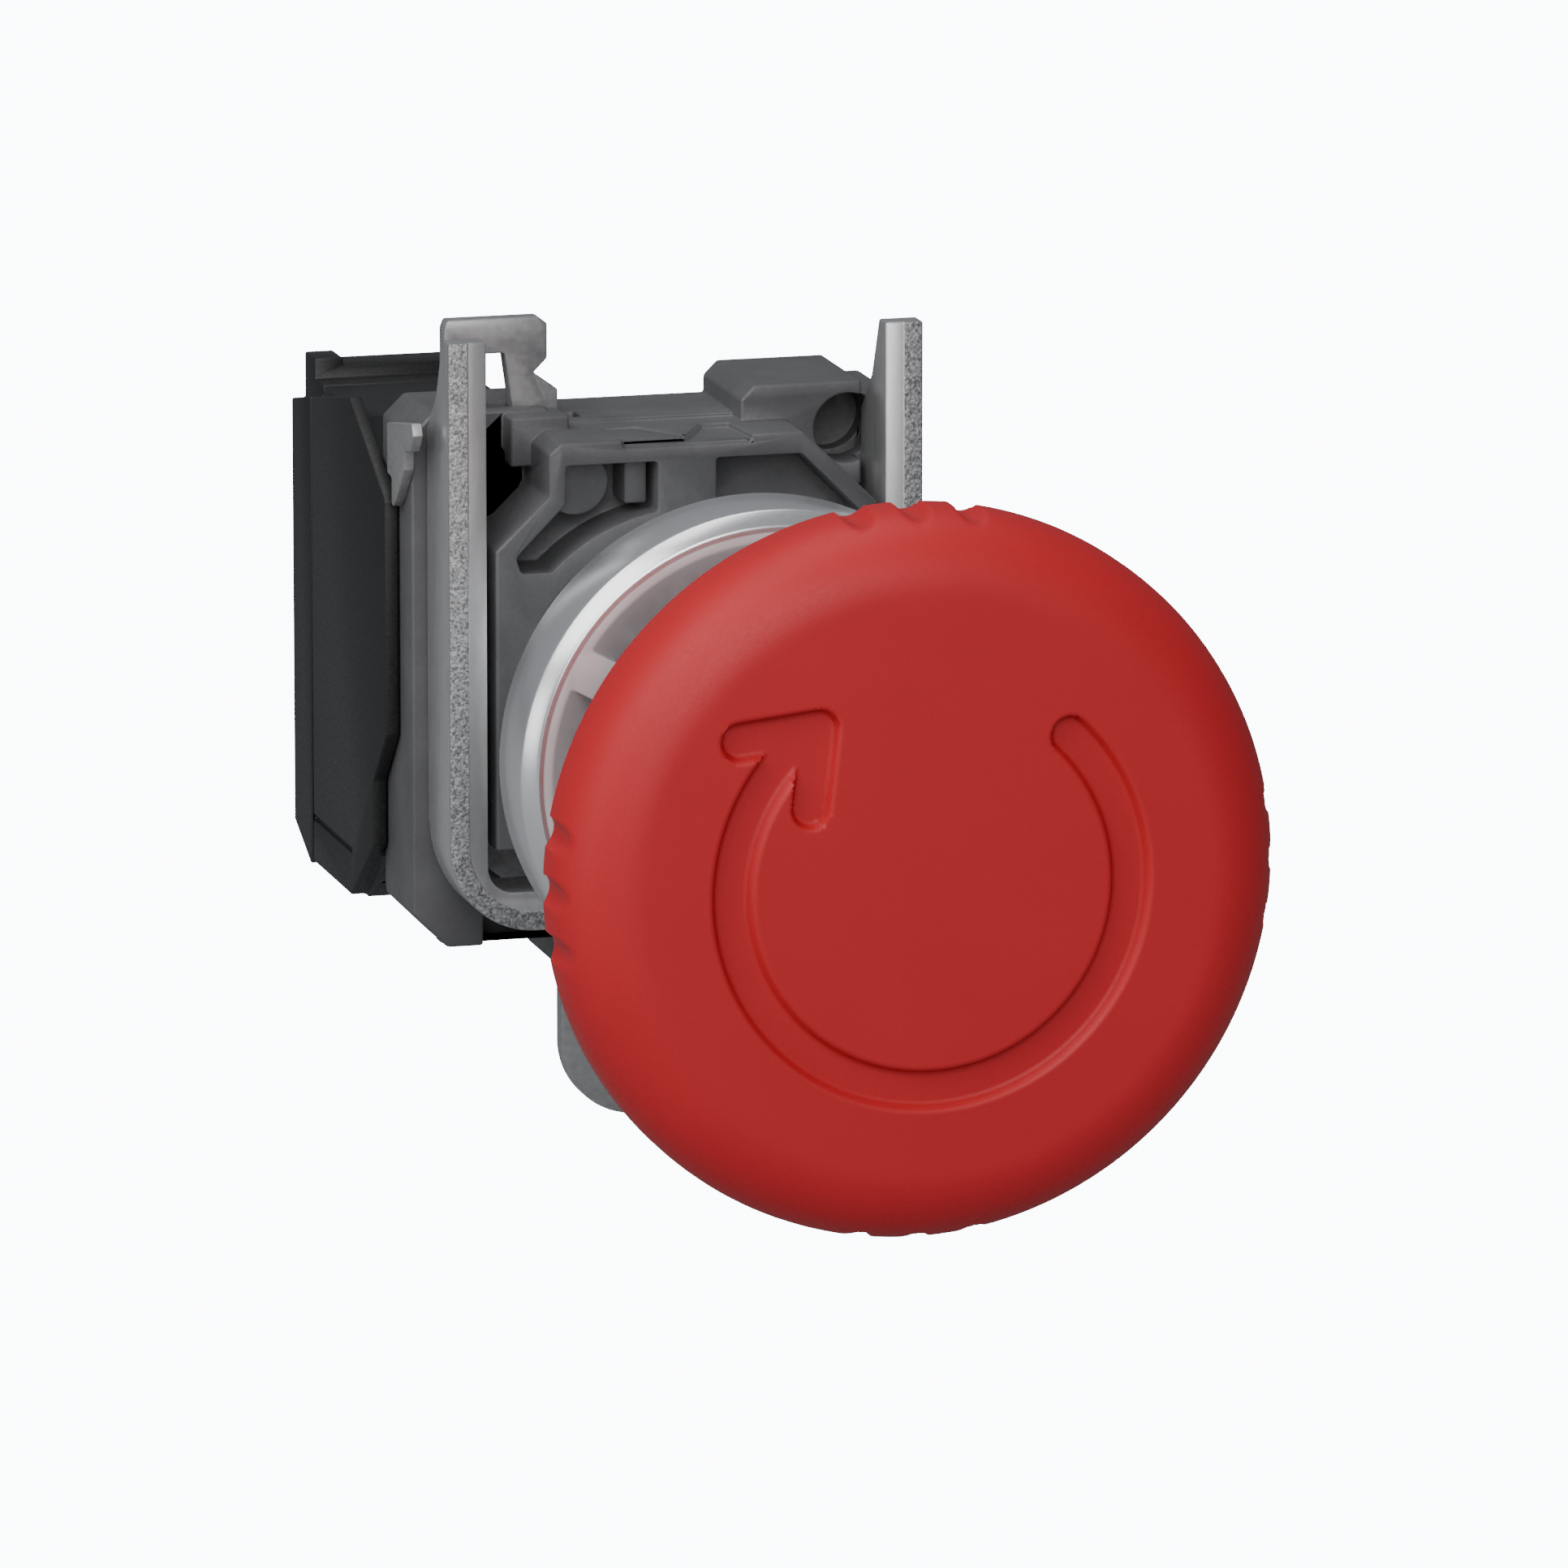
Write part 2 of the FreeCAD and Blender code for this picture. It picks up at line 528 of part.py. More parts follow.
def cut_arrow(cap):
    """The turn-to-release arrow, sunk in the cap's face."""
    sketch = new_sketch(cap, "XY", "0")
    front = "-cap_front - cap_dome - 1"
    floor = "-cap_front + arrow_depth"
    inner = "arrow_radius - arrow_width / 2"
    outer = "arrow_radius + arrow_width / 2"
    draw_outline(sketch, [(inner, front), (outer, front), (outer, floor), (inner, floor)])
    sketch.AttachmentOffset = FreeCAD.Placement(
        FreeCAD.Vector(), FreeCAD.Rotation(FreeCAD.Vector(0, 1, 0), -value("arrow_tail")))
    bind(sketch, ".AttachmentOffset.Rotation.Angle", "0 - arrow_tail")
    before = cap.Shape.Volume
    groove = cap.newObject("PartDesign::Groove", "mushroom_cap_arrow")
    groove.Profile = sketch
    groove.ReferenceAxis = (sketch, ["V_Axis"])
    bind(groove, "Angle", "arrow_sweep")
    doc.recompute()
    if cap.Shape.Volume >= before:
        raise RuntimeError("the arrow cut nothing")
    depth = "arrow_depth + cap_dome + 1"
    disc(cap, "XZ", ("arrow_radius * cos(arrow_tail * 1deg)", "arrow_radius * sin(arrow_tail * 1deg)"),
         "arrow_width / 2", front, depth, cut=True)
    end = "((arrow_tail - arrow_sweep) * 1deg)"
    middle = ("arrow_radius * cos%s" % end, "arrow_radius * sin%s" % end)
    reach = "arrow_head * 0.62"
    tip_x = "%s + %s" % (middle[0], reach)
    tip_z = "%s + %s" % (middle[1], reach)
    block(cap, "XZ", ("%s - arrow_head" % tip_x, "%s - arrow_width" % tip_z), (tip_x, tip_z),
          front, depth, cut=True)
    block(cap, "XZ", ("%s - arrow_width" % tip_x, "%s - arrow_head" % tip_z),
          (tip_x, "%s - arrow_width + 0.01" % tip_z), front, depth, cut=True)


def make_cap():
    """Red moulded mushroom with a flared skirt, hollow behind its face."""
    inner_face = "-cap_front + cap_wall"
    inner_radius = "cap_radius - cap_wall - 1.6"
    boss = "hub_radius + fit_gap"
    cap = turned("mushroom_cap", [
        ("0", "-cap_front - cap_dome"), ("cap_radius * 0.5", "-cap_front - cap_dome * 0.75"),
        ("cap_radius", "-cap_front"), ("cap_radius", "-cap_rim + 0.6"),
        ("cap_radius - 0.7", "-cap_rim + 2"), ("flare_radius", "-flare_front"),
        ("skirt_radius + 2.6", "-skirt_start - 3.2"), ("skirt_radius + 0.7", "-skirt_start"),
        ("skirt_radius", "-skirt_start + 4"), ("skirt_radius", "-skirt_end"),
        ("skirt_radius - 1.4", "-skirt_end"), ("skirt_radius - 1.4", "-skirt_start - 1"),
        ("hub_flange + fit_gap", "-skirt_start - 1"),
        ("hub_flange + fit_gap", "-skirt_start - 3.5"), (boss, "-skirt_start - 3.5"),
        (boss, "-spindle_front - 3.2"), ("hub_radius + 1.6", "-spindle_front - 3.2"),
        ("hub_radius + 1.6", "-skirt_start - 5.5"), ("skirt_radius - 0.6", "-skirt_start - 5.5"),
        ("flare_radius - cap_wall - 0.4", "-flare_front - 0.8"), (inner_radius, "-cap_rim"),
        (inner_radius, "-cap_front + cap_wall + 1.6"),
        ("cap_radius - cap_wall - 4", inner_face), ("0", inner_face)])
    edge_y = value("-cap_front")
    round_edges(cap, "cap_edge_round", lambda p: abs(p.y - edge_y) < 0.01)
    reach = "(cap_radius - grip_bite + grip_radius)"
    notch = disc(cap, "XZ", ("-%s * sin(grip_pitch * 1deg)" % reach, "%s * cos(grip_pitch * 1deg)" % reach),
                 "grip_radius", "-cap_front - cap_dome", "cap_front - flare_front + cap_dome", cut=True)
    multi = cap.newObject("PartDesign::MultiTransform", "mushroom_cap_grips")
    multi.Originals = [notch]
    trio = doc.addObject("PartDesign::PolarPattern", "mushroom_cap_trio")
    cap.addObject(trio)
    trio.Axis = (origin_part(cap, "Y_Axis"), [""])
    bind(trio, "Angle", "2 * grip_pitch")
    trio.Occurrences = 3
    around = doc.addObject("PartDesign::PolarPattern", "mushroom_cap_around")
    cap.addObject(around)
    around.Axis = (origin_part(cap, "Y_Axis"), [""])
    around.Angle = 360
    around.Occurrences = 4
    multi.Transformations = [trio, around]
    cap.Tip = multi
    doc.recompute()
    cut_arrow(cap)
    core_bore = "spindle_radius + cap_turn_gap"
    room_front = "-hub_end - spring_room_length"
    turned("cap_core", [
        ("clip_radius + 0.4", "-spindle_front - 3.2 + 0.1"), ("hub_radius", "-spindle_front - 3.2 + 0.1"),
        ("hub_radius", "-skirt_start - 3.5 + fit_gap"), ("hub_flange", "-skirt_start - 3.5 + fit_gap"),
        ("hub_flange", "-skirt_start - 3.5 + fit_gap + hub_flange_depth"),
        ("hub_radius", "-skirt_start - 3.5 + fit_gap + hub_flange_depth"),
        ("hub_radius", "-hub_end"), ("spring_room_radius", "-hub_end"),
        ("spring_room_radius", room_front), (core_bore, room_front),
        (core_bore, "-spindle_front + 1 + clip_groove_width + 0.1"),
        ("clip_radius + 0.4", "-spindle_front + 1 + clip_groove_width + 0.1")])


# ---------------------------------------------------------------- collar that grips the tail

def make_collar():
    """Cast fixing collar: pierced front plate, body, bosses, latch slot and screw thread."""
    collar = new_body("collar_frame")
    front = "collar_front"
    rear = "collar_rear - collar_front"
    body_start = "collar_front + plate_depth"
    prism(collar, "XZ", [
        ("-plate_half", "-plate_bottom"), ("plate_half", "-plate_bottom"),
        ("plate_half", "plate_top - 4.2"), ("plate_half - 4.3", "plate_top"),
        ("-plate_half + 3.8", "plate_top"), ("-plate_half + 3.1", "plate_top - 0.6"),
        ("-plate_half + 3.1", "plate_top - 3"), ("-plate_half", "plate_top - 6")],
        front, "plate_depth")
    block(collar, "XZ", ("-plate_half / 3", "plate_top - 0.45"), ("plate_half / 3", "plate_top + 1"),
          front, "0.5", cut=True)
    prism(collar, "XZ", [
        ("-collar_half + 2", "-collar_bottom"), ("collar_half - 2", "-collar_bottom"),
        ("collar_half", "-collar_bottom + 2"), ("collar_half", "shoulder_top - 1.2"),
        ("collar_half - 1.2", "shoulder_top"), ("boss_top - 9", "shoulder_top"),
        ("boss_top - 9.4", "plate_top + 0.2"), ("-plate_half + 5", "plate_top + 0.2"),
        ("-plate_half + 4.4", "shoulder_top"), ("-collar_half + 1.2", "shoulder_top"),
        ("-collar_half", "shoulder_top - 1.2"), ("-collar_half", "-collar_bottom + 2")],
        body_start, "collar_rear - collar_front - plate_depth")
    prism(collar, "XZ", [
        ("4.2", "plate_top - 4"), ("arm_inner - 0.3", "plate_top - 4"),
        ("arm_inner - 0.3", "boss_top"), ("5", "boss_top"), ("4.2", "boss_top - 0.8")],
        "boss_front", "collar_rear - boss_front")
    block(collar, "XZ", ("-9.2", "plate_top - 2"), ("-5.8", "shoulder_top - 0.2"),
          "boss_front", "collar_rear - boss_front")
    block(collar, "XZ", ("-foot_half", "-foot_bottom"), ("foot_half", "-groove_radius"),
          "collar_rear - 3", "foot_rear - collar_rear + 3")
    # pockets of the front plate, the boss and pin in the left one, and the rim round the bore
    rim = "tail_radius + collar_gap + rim_width"
    prism(collar, "XZ", [
        ("-plate_half + 4.1", "plate_top - 1.3"), ("-plate_half + 4.1", "plate_top - 3.5"),
        ("-plate_half + 1.2", "plate_top - 6.4"), ("-plate_half + 1.5", "plate_top - 7.3"),
        ("-plate_half + 3.3", "plate_top - 7.3"), ("-1.7", "plate_top - 7.3"),
        ("-1.7", "plate_top - 1.3")], front, "pocket_depth", cut=True)
    prism(collar, "XZ", [
        ("1.75", "plate_top - 1.25"), ("plate_half - 4.4", "plate_top - 1.25"),
        ("plate_half - 1", "plate_top - 4.7"), ("plate_half - 1", "plate_top - 6.2"),
        ("1.75", "plate_top - 6.2")], front, "pocket_depth", cut=True)
    disc(collar, "XZ", ("-plate_half + 5", "plate_top - 2.5"), "1.9", front + " + 1.4",
         "pocket_depth - 1.4 + 0.1")
    block(collar, "XZ", ("-3.4", "plate_top - 3.8"), ("-2.1", "plate_top - 1"), front + " + 0.9",
          "pocket_depth - 0.9 + 0.1")
    tube(collar, "XZ", ("0", "0"), rim, "tail_radius", front, "pocket_depth + 0.1")
    block(collar, "XZ", ("-plate_half", "-plate_bottom - 4"), ("plate_half", "-plate_bottom"),
          front, "pocket_depth + 0.1", cut=True)
    disc(collar, "XZ", ("0", "0"), "tail_radius + collar_gap", front, "foot_rear - collar_front + 1",
         cut=True)
    # latch slot, its way out at the top and bottom, and the dark recess under the plate
    slot = GROOVE_MIDDLE + " - slot_width / 2"
    side = "(latch_half + slot_side_gap)"
    block(collar, "XZ", ("-" + side, "-foot_bottom - 1"), (side, "latch_top + latch_lift + 0.4"),
          slot, "slot_width", cut=True)
    block(collar, "XZ", ("-" + side, "plate_half - 6"), ("-4.4", "boss_top + 1"), slot,
          "slot_width", cut=True)
    block(collar, "XZ", ("-plate_half + 0.6", "-collar_bottom - 1"),
          ("plate_half - 0.6", "-plate_bottom - 0.2"), body_start, "1.3", cut=True)
    disc(collar, "XZ", ("0", "-(bar_top + bar_bottom) / 2"), "screw_radius + thread_gap",
         body_start, "foot_rear - collar_front - plate_depth + 1", cut=True)
    # round recesses beside the plate, bevels at the rear, and the alignment mark on top
    disc(collar, "XZ", ("-plate_half + 0.8", "plate_top - 3"), "side_hole_radius",
         body_start, "4", cut=True)
    disc(collar, "XZ", ("plate_half - 0.6", "boss_top - 2.7"), "side_hole_radius",
         "boss_front - 0.1", "5.5", cut=True)
    prism(collar, "YZ", [
        ("collar_rear - 2", "-collar_bottom - 1"), ("collar_rear + 1", "-collar_bottom - 1"),
        ("collar_rear + 1", "-collar_bottom + 3"), ("collar_rear", "-collar_bottom + 2.4")],
        "-collar_half - 1", "collar_half + 1 - foot_half", cut=True)
    prism(collar, "YZ", [
        ("collar_rear - 2", "-collar_bottom - 1"), ("collar_rear + 1", "-collar_bottom - 1"),
        ("collar_rear + 1", "-collar_bottom + 3"), ("collar_rear", "-collar_bottom + 2.4")],
        "foot_half", "collar_half + 1 - foot_half", cut=True)
    prism(collar, "XY", [
        ("0", "collar_front - 1"), ("0", "collar_front + 0.4"), ("1.8", "collar_front + 3.9"),
        ("3.5", "collar_front + 3.9"), ("3.9", "collar_front - 1")],
        "plate_top - 0.3", "2", cut=True)
    prism(collar, "XY", [
        ("-3.9", "collar_front + 3.5"), ("-2.1", "collar_front + 3.5"),
        ("-0.3", "collar_front + 0.3"), ("0", "collar_front + 0.9"),
        ("-1.9", "collar_front + 3.9"), ("-3.9", "collar_front + 3.9")],
        "plate_top - 0.3", "2", cut=True)
    return collar


def make_side_hook():
    """Flat steel hook on the collar's left side, which holds the contact block."""
    hook = new_body("side_hook")
    prism(hook, "YZ", [
        ("22.9", "15.0"), ("17.0", "16.0"), ("16.7", "15.3"), ("17.5", "14.3"),
        ("18.8", "14.1"), ("18.9", "13.0"), ("20.9", "10.9"), ("21.6", "10.4"),
        ("21.9", "10.5"), ("21.9", "12.0"), ("22.9", "12.1")],
        "-collar_half - 0.6", "0.6")


def make_yoke():
    """Steel U that is screwed forward against the back of the panel."""
    yoke = new_body("clamp_yoke")
    prism(yoke, "XZ", [
        ("-arm_outer", "-bar_bottom"), ("arm_outer", "-bar_bottom"), ("arm_outer", "arm_top"),
        ("arm_inner", "arm_top"), ("arm_inner", "-bar_top"), ("-arm_inner", "-bar_top"),
        ("-arm_inner", "arm_top"), ("-arm_outer", "arm_top")], "collar_front", "arm_depth")
    width = "2 * arm_outer + 2"
    left = "-arm_outer - 1"
    rear = "collar_front + arm_depth"
    prism(yoke, "YZ", [
        ("collar_front + ear_tip_depth", "arm_top + 1"), (rear + " + 1", "arm_top + 1"),
        (rear + " + 1", "arm_top - ear_taper"), (rear, "arm_top - ear_taper"),
        ("collar_front + 3", "arm_top - 3.4"), ("collar_front + ear_tip_depth", "arm_top")],
        left, width, cut=True)
    prism(yoke, "YZ", [
        (rear + " + 1", "-bar_top + 3.6"), (rear, "-bar_top + 3.6"),
        ("collar_front + bar_depth", "-bar_top + 0.6"), ("collar_front + bar_depth", "-bar_bottom - 1"),
        (rear + " + 1", "-bar_bottom - 1")], left, width, cut=True)
    bottom = value("-bar_bottom")
    corner = value("arm_outer")
    round_edges(yoke, "yoke_round", lambda p: abs(p.z - bottom) < 0.01 and abs(abs(p.x) - corner) < 0.01)
    inside = value("-bar_top")
    hollow = value("arm_inner")
    round_edges(yoke, "1.5", lambda p: abs(p.z - inside) < 0.01 and abs(abs(p.x) - hollow) < 0.01)


def cut_driver_slot(screw, centre, radius, end, depth):
    block(screw, "XZ", ("%s - %s" % (centre[0], radius), "%s - driver_slot / 2" % centre[1]),
          ("%s + %s" % (centre[0], radius), "%s + driver_slot / 2" % centre[1]),
          "%s - %s" % (end, depth), "%s + 1" % depth, cut=True)


def make_clamp_screw():
    """Slotted grub screw in the collar's foot, its tip behind the yoke's bottom bar."""
    screw = new_body("clamp_screw")
    centre = ("0", "-(bar_top + bar_bottom) / 2")
    start = "collar_front + bar_depth + 0.05"
    disc(screw, "XZ", centre, "screw_radius", start, "screw_length")
    cut_driver_slot(screw, centre, "(screw_radius + 1)", start + " + screw_length", "1.2")


def make_latch():
    """Steel latch plate round the tail, with a lifting tongue below and a hooked tab above."""
    latch = new_body("latch_plate")
    start = GROOVE_MIDDLE + " - latch_thickness / 2"
    prism(latch, "XZ", [
        ("-tongue_half", "-tongue_end"), ("tongue_half", "-tongue_end"),
        ("tongue_half", "-latch_shoulder - 5"), ("latch_half", "-latch_shoulder"),
        ("latch_half", "latch_top - 7"), ("latch_half - 5", "latch_top"), ("-4.9", "latch_top"),
        ("-5.7", "latch_top + 3.4"), ("-5.7", "latch_top + 4.4"), ("-7.1", "tab_bottom - 1.2"),
        ("-6.3", "tab_bottom - 0.4"), ("-6.3", "tab_top - 0.4"), ("-6.8", "tab_top"),
        ("-12.1", "tab_top"), ("-12.3", "tab_top - 0.5"), ("-12.3", "tab_bottom - 2"),
        ("-11.6", "tab_bottom - 2"), ("-11.2", "tab_bottom"), ("-8.8", "tab_bottom"),
        ("-8.1", "latch_top + 1.6"), ("-8.1", "latch_top - 1"), ("-latch_half", "latch_top - 7"),
        ("-latch_half", "-latch_shoulder"), ("-tongue_half", "-latch_shoulder - 5")],
        start, "latch_thickness")
    disc(latch, "XZ", ("0", "0"), "tail_radius + latch_window_gap", start, "latch_thickness", cut=True)
    half = "(screw_radius + 0.35)"
    block(latch, "XZ", ("-" + half, "-bar_bottom - latch_lift - 1.3"), (half, "-groove_radius"),
          start, "latch_thickness", cut=True)
    bottom = value("-tongue_end")
    round_edges(latch, "tongue_half - 1.2", lambda p: abs(p.z - bottom) < 0.01 and abs(p.x) > 1)
    coil("latch_spring", "z", "latch_coil", "small_wire", 5, "latch_top", "latch_top + latch_lift + 0.4",
         ("4", GROOVE_MIDDLE, "0"))


# ---------------------------------------------------------------- contact block

BLOCK_MIDDLE = "-(block_left + block_right) / 2"
PANEL_TOP = "rear_lip_top - 0.1"


def make_housing():
    """Black moulded housing: thin side panel over a hollow core with a notch for the plunger."""
    housing = new_body("block_housing")
    core_left = "-block_left + side_panel"
    prism(housing, "YZ", [
        ("collar_rear", "-block_bottom + 2.4"), ("collar_rear + 3.8", "-block_bottom"),
        ("seam", "-block_bottom"), ("seam", "block_top"), ("collar_rear + 4", "block_top"),
        ("collar_rear", "block_top - 2")], core_left, "block_left - side_panel - block_right")
    prism(housing, "YZ", [
        ("seam", "-block_bottom"), ("seam", "rear_lip_top - 1.8"), ("collar_rear + 4.6", PANEL_TOP),
        ("collar_rear - 4.1", "rear_lip_top - 4.5"), ("collar_rear - 4.1", "-3"),
        ("collar_rear - 1", "-6.2"), ("collar_rear - 1", "-10"), ("collar_rear + 4.6", "-block_bottom")],
        "-block_left", "side_panel + 0.01")
    inner_left = "-block_left + block_wall"
    inner_right = "-block_right - block_wall"
    ceiling = "block_top - block_wall"
    floor = "-block_bottom + block_wall"
    for low, high in (("middle_half + 0.1", ceiling), (floor, "-middle_half - 0.1")):
        block(housing, "XZ", (inner_left, low), (inner_right, high), "cage_front - 0.8",
              "seam - cage_front + 0.8", cut=True)
    block(housing, "XZ", (inner_left, "-middle_half - 0.2"), (inner_right, "middle_half + 0.2"),
          "notch_floor + 1", "seam - notch_floor - 1", cut=True)
    block(housing, "XZ", ("-notch_left", "-notch_half"), ("-block_right + 1", "notch_half"),
          "collar_rear", "notch_floor - collar_rear", cut=True)
    block(housing, "XZ", ("-8.9 - fit_gap", "-rod_height / 2 - fit_gap"),
          ("-8.9 + rod_width + fit_gap", "rod_height / 2 + fit_gap"), "notch_floor - 0.5", "2",
          cut=True)
    for end, start in ((1, "block_top - block_wall - 0.5"), (-1, "-block_bottom - 1")):
        disc(housing, "XY", (BLOCK_MIDDLE, "(cage_front + cage_bar + strip_front) / 2"), "wire_hole",
             start, "block_wall + 1.5", cut=True)
    block(housing, "YZ", ("collar_rear + 4.3", "-11.6"), ("seam - 0.01", "-11.3"),
          "-block_left - 0.1", "0.35", cut=True)
    return housing


def make_cover():
    """Rear cover over the terminals, with a lip on top and a screwdriver hole at each end."""
    cover = new_body("block_cover")
    front = "seam + seam_gap"
    prism(cover, "YZ", [
        (front, "-block_bottom"), ("block_rear - 4", "-block_bottom - 0.3"),
        ("block_rear", "-block_bottom + 1.5"), ("block_rear", "block_top"), (front, "block_top")],
        "-block_left + side_panel", "block_left - side_panel - block_right")
    prism(cover, "YZ", [
        (front, "-block_bottom"), ("block_rear - 4", "-block_bottom - 0.3"),
        ("block_rear", "-block_bottom + 1.5"), ("block_rear", "rear_lip_top - 2.7"),
        (front, "rear_lip_top - 1.8")], "-block_left", "side_panel + 0.01")
    block(cover, "XZ", ("-block_left + side_panel", "block_top - 0.1"), ("-block_right", "rear_lip_top - 0.4"),
          "block_rear - rear_lip", "rear_lip")
    block(cover, "XZ", ("-block_left + side_panel", "block_top - 0.1"),
          ("-block_left + side_panel + 1.7", "rear_lip_top"), "block_rear - rear_lip", "rear_lip")
    block(cover, "XZ", ("-block_left + block_wall", "-block_bottom + block_wall"),
          ("-block_right - block_wall", "block_top - block_wall"), front, "block_rear - 2 - seam - seam_gap",
          cut=True)
    disc(cover, "XZ", (BLOCK_MIDDLE, "0"), "plunger_coil + 0.6", "block_rear - 3", "2", cut=True)
    for height in ("terminal_z", "-terminal_z"):
        disc(cover, "XZ", (BLOCK_MIDDLE, height), "driver_hole", "block_rear - 3", "4", cut=True)


def make_contact(side, sign):
    """One fixed contact: a strip from terminal to contact tip, its tip, and its terminal."""
    up = "" if sign > 0 else "-"
    low, high = up + "3.2", up + "(block_top - block_wall - 0.2)"
    if sign < 0:
        low, high = "-(block_bottom - block_wall - 0.2)", "-3.2"
    centre = (BLOCK_MIDDLE, up + "terminal_z")
    strip = new_body("fixed_contact_" + side)
    block(strip, "XZ", (BLOCK_MIDDLE + " - strip_half", low), (BLOCK_MIDDLE + " + strip_half", high),
          "strip_front", "strip_thickness")
    disc(strip, "XZ", (BLOCK_MIDDLE, up + "4.6"), "tip_radius", "strip_front + strip_thickness",
         "tip_height")
    disc(strip, "XZ", centre, "terminal_screw_radius + 0.1", "strip_front - 1", "strip_thickness + 2",
         cut=True)
    cage = new_body("terminal_clamp_" + side)
    depth = "cage_rear - cage_front"
    block(cage, "XZ", (BLOCK_MIDDLE + " - cage_side", centre[1] + " - cage_half"),
          (BLOCK_MIDDLE + " + cage_side", centre[1] + " + cage_half"), "cage_front", depth)
    inner = "(cage_side - 0.7)"
    block(cage, "XZ", (BLOCK_MIDDLE + " - " + inner, centre[1] + " - cage_half - 1"),
          (BLOCK_MIDDLE + " + " + inner, centre[1] + " + cage_half + 1"), "cage_front + cage_bar",
          depth + " - 2 * cage_bar", cut=True)
    disc(cage, "XZ", centre, "terminal_screw_radius + thread_gap", "cage_rear - cage_bar - 1",
         "cage_bar + 2", cut=True)
    screw = new_body("terminal_screw_" + side)
    head_start = "cage_rear + clamp_travel + 0.8"
    tip_start = "cage_front + cage_bar + clamp_travel + 0.3"
    disc(screw, "XZ", centre, "terminal_screw_radius", tip_start, "%s - (%s)" % (head_start, tip_start))
    disc(screw, "XZ", centre, "terminal_head_radius", head_start, "terminal_head_width")
    cut_driver_slot(screw, centre, "(terminal_head_radius + 1)", head_start + " + terminal_head_width",
                    "0.8")


def make_plunger():
    """Red plunger and carriage, with the contact bridge and its spring in the carriage window."""
    plunger = new_body("block_plunger")
    front = "tail_end + 0.2 + pusher_width + plunger_gap"
    rod_left = "-8.9"
    half = "rod_height / 2"
    block(plunger, "XZ", (rod_left, "-" + half), (rod_left + " + rod_width", half), front,
          "carriage_front - (%s) + 0.1" % front)
    block(plunger, "XZ", (rod_left, "-" + half), (rod_left + " + 3", half), front, "1")
    block(plunger, "XZ", (BLOCK_MIDDLE + " - strip_half - 0.6", "-carriage_half"),
          (rod_left + " + rod_width", "carriage_half"), "carriage_front", "carriage_rear - carriage_front")
    window_front = "strip_front + strip_thickness + 2 * tip_height + 0.05"
    block(plunger, "XZ", (BLOCK_MIDDLE + " - strip_half - 0.1", "-carriage_half - 1"),
          (BLOCK_MIDDLE + " + strip_half + 0.1 - 0.4", "carriage_half + 1"), window_front + " - 0.1",
          "carriage_rear - 0.5 - (%s) + 0.1" % window_front, cut=True)
    bridge = new_body("contact_bridge")
    bridge_half = "(strip_half - 0.4)"
    block(bridge, "XZ", (BLOCK_MIDDLE + " - strip_half", "-5.9"),
          (BLOCK_MIDDLE + " + %s" % bridge_half, "5.9"), window_front, "bridge_thickness")
    for height in ("4.6", "-4.6"):
        disc(bridge, "XZ", (BLOCK_MIDDLE + " - 0.2", height), "tip_radius",
             window_front + " - tip_height", "tip_height")
    coil("contact_spring", "y", "bridge_coil", "small_wire", 3, window_front + " + bridge_thickness",
         "carriage_rear - 0.5", (BLOCK_MIDDLE + " - 0.2", "0", "0"))
    coil("plunger_spring", "y", "plunger_coil", "plunger_wire", 3, "carriage_rear", "block_rear - 1",
         (BLOCK_MIDDLE, "0", "0"))


make_head()
make_pawl("left", -1)
make_pawl("right", 1)
make_actuator()
make_cap()
make_collar()
make_side_hook()
make_yoke()
make_clamp_screw()
make_latch()
make_housing()
make_cover()
make_contact("upper", 1)
make_contact("lower", -1)
make_plunger()
doc.recompute()

# ---------------------------------------------------------------- checks, then one file per piece

for thing in doc.Objects:
    if "Invalid" in thing.State or "Error" in thing.State:
        raise RuntimeError("%s failed: %s" % (thing.Name, thing.State))

pieces = [thing for thing in doc.Objects if thing.TypeId in ("PartDesign::Body", "Part::Sweep")]
for piece in pieces:
    if piece.Shape.isNull() or not piece.Shape.isValid() or not piece.Shape.Solids:
        raise RuntimeError("%s has no sound shape" % piece.Label)
for piece in pieces:
    piece.Shape.exportStep("parts/%s.step" % piece.Label)
print("%d pieces" % len(pieces))
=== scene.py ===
import json
import math

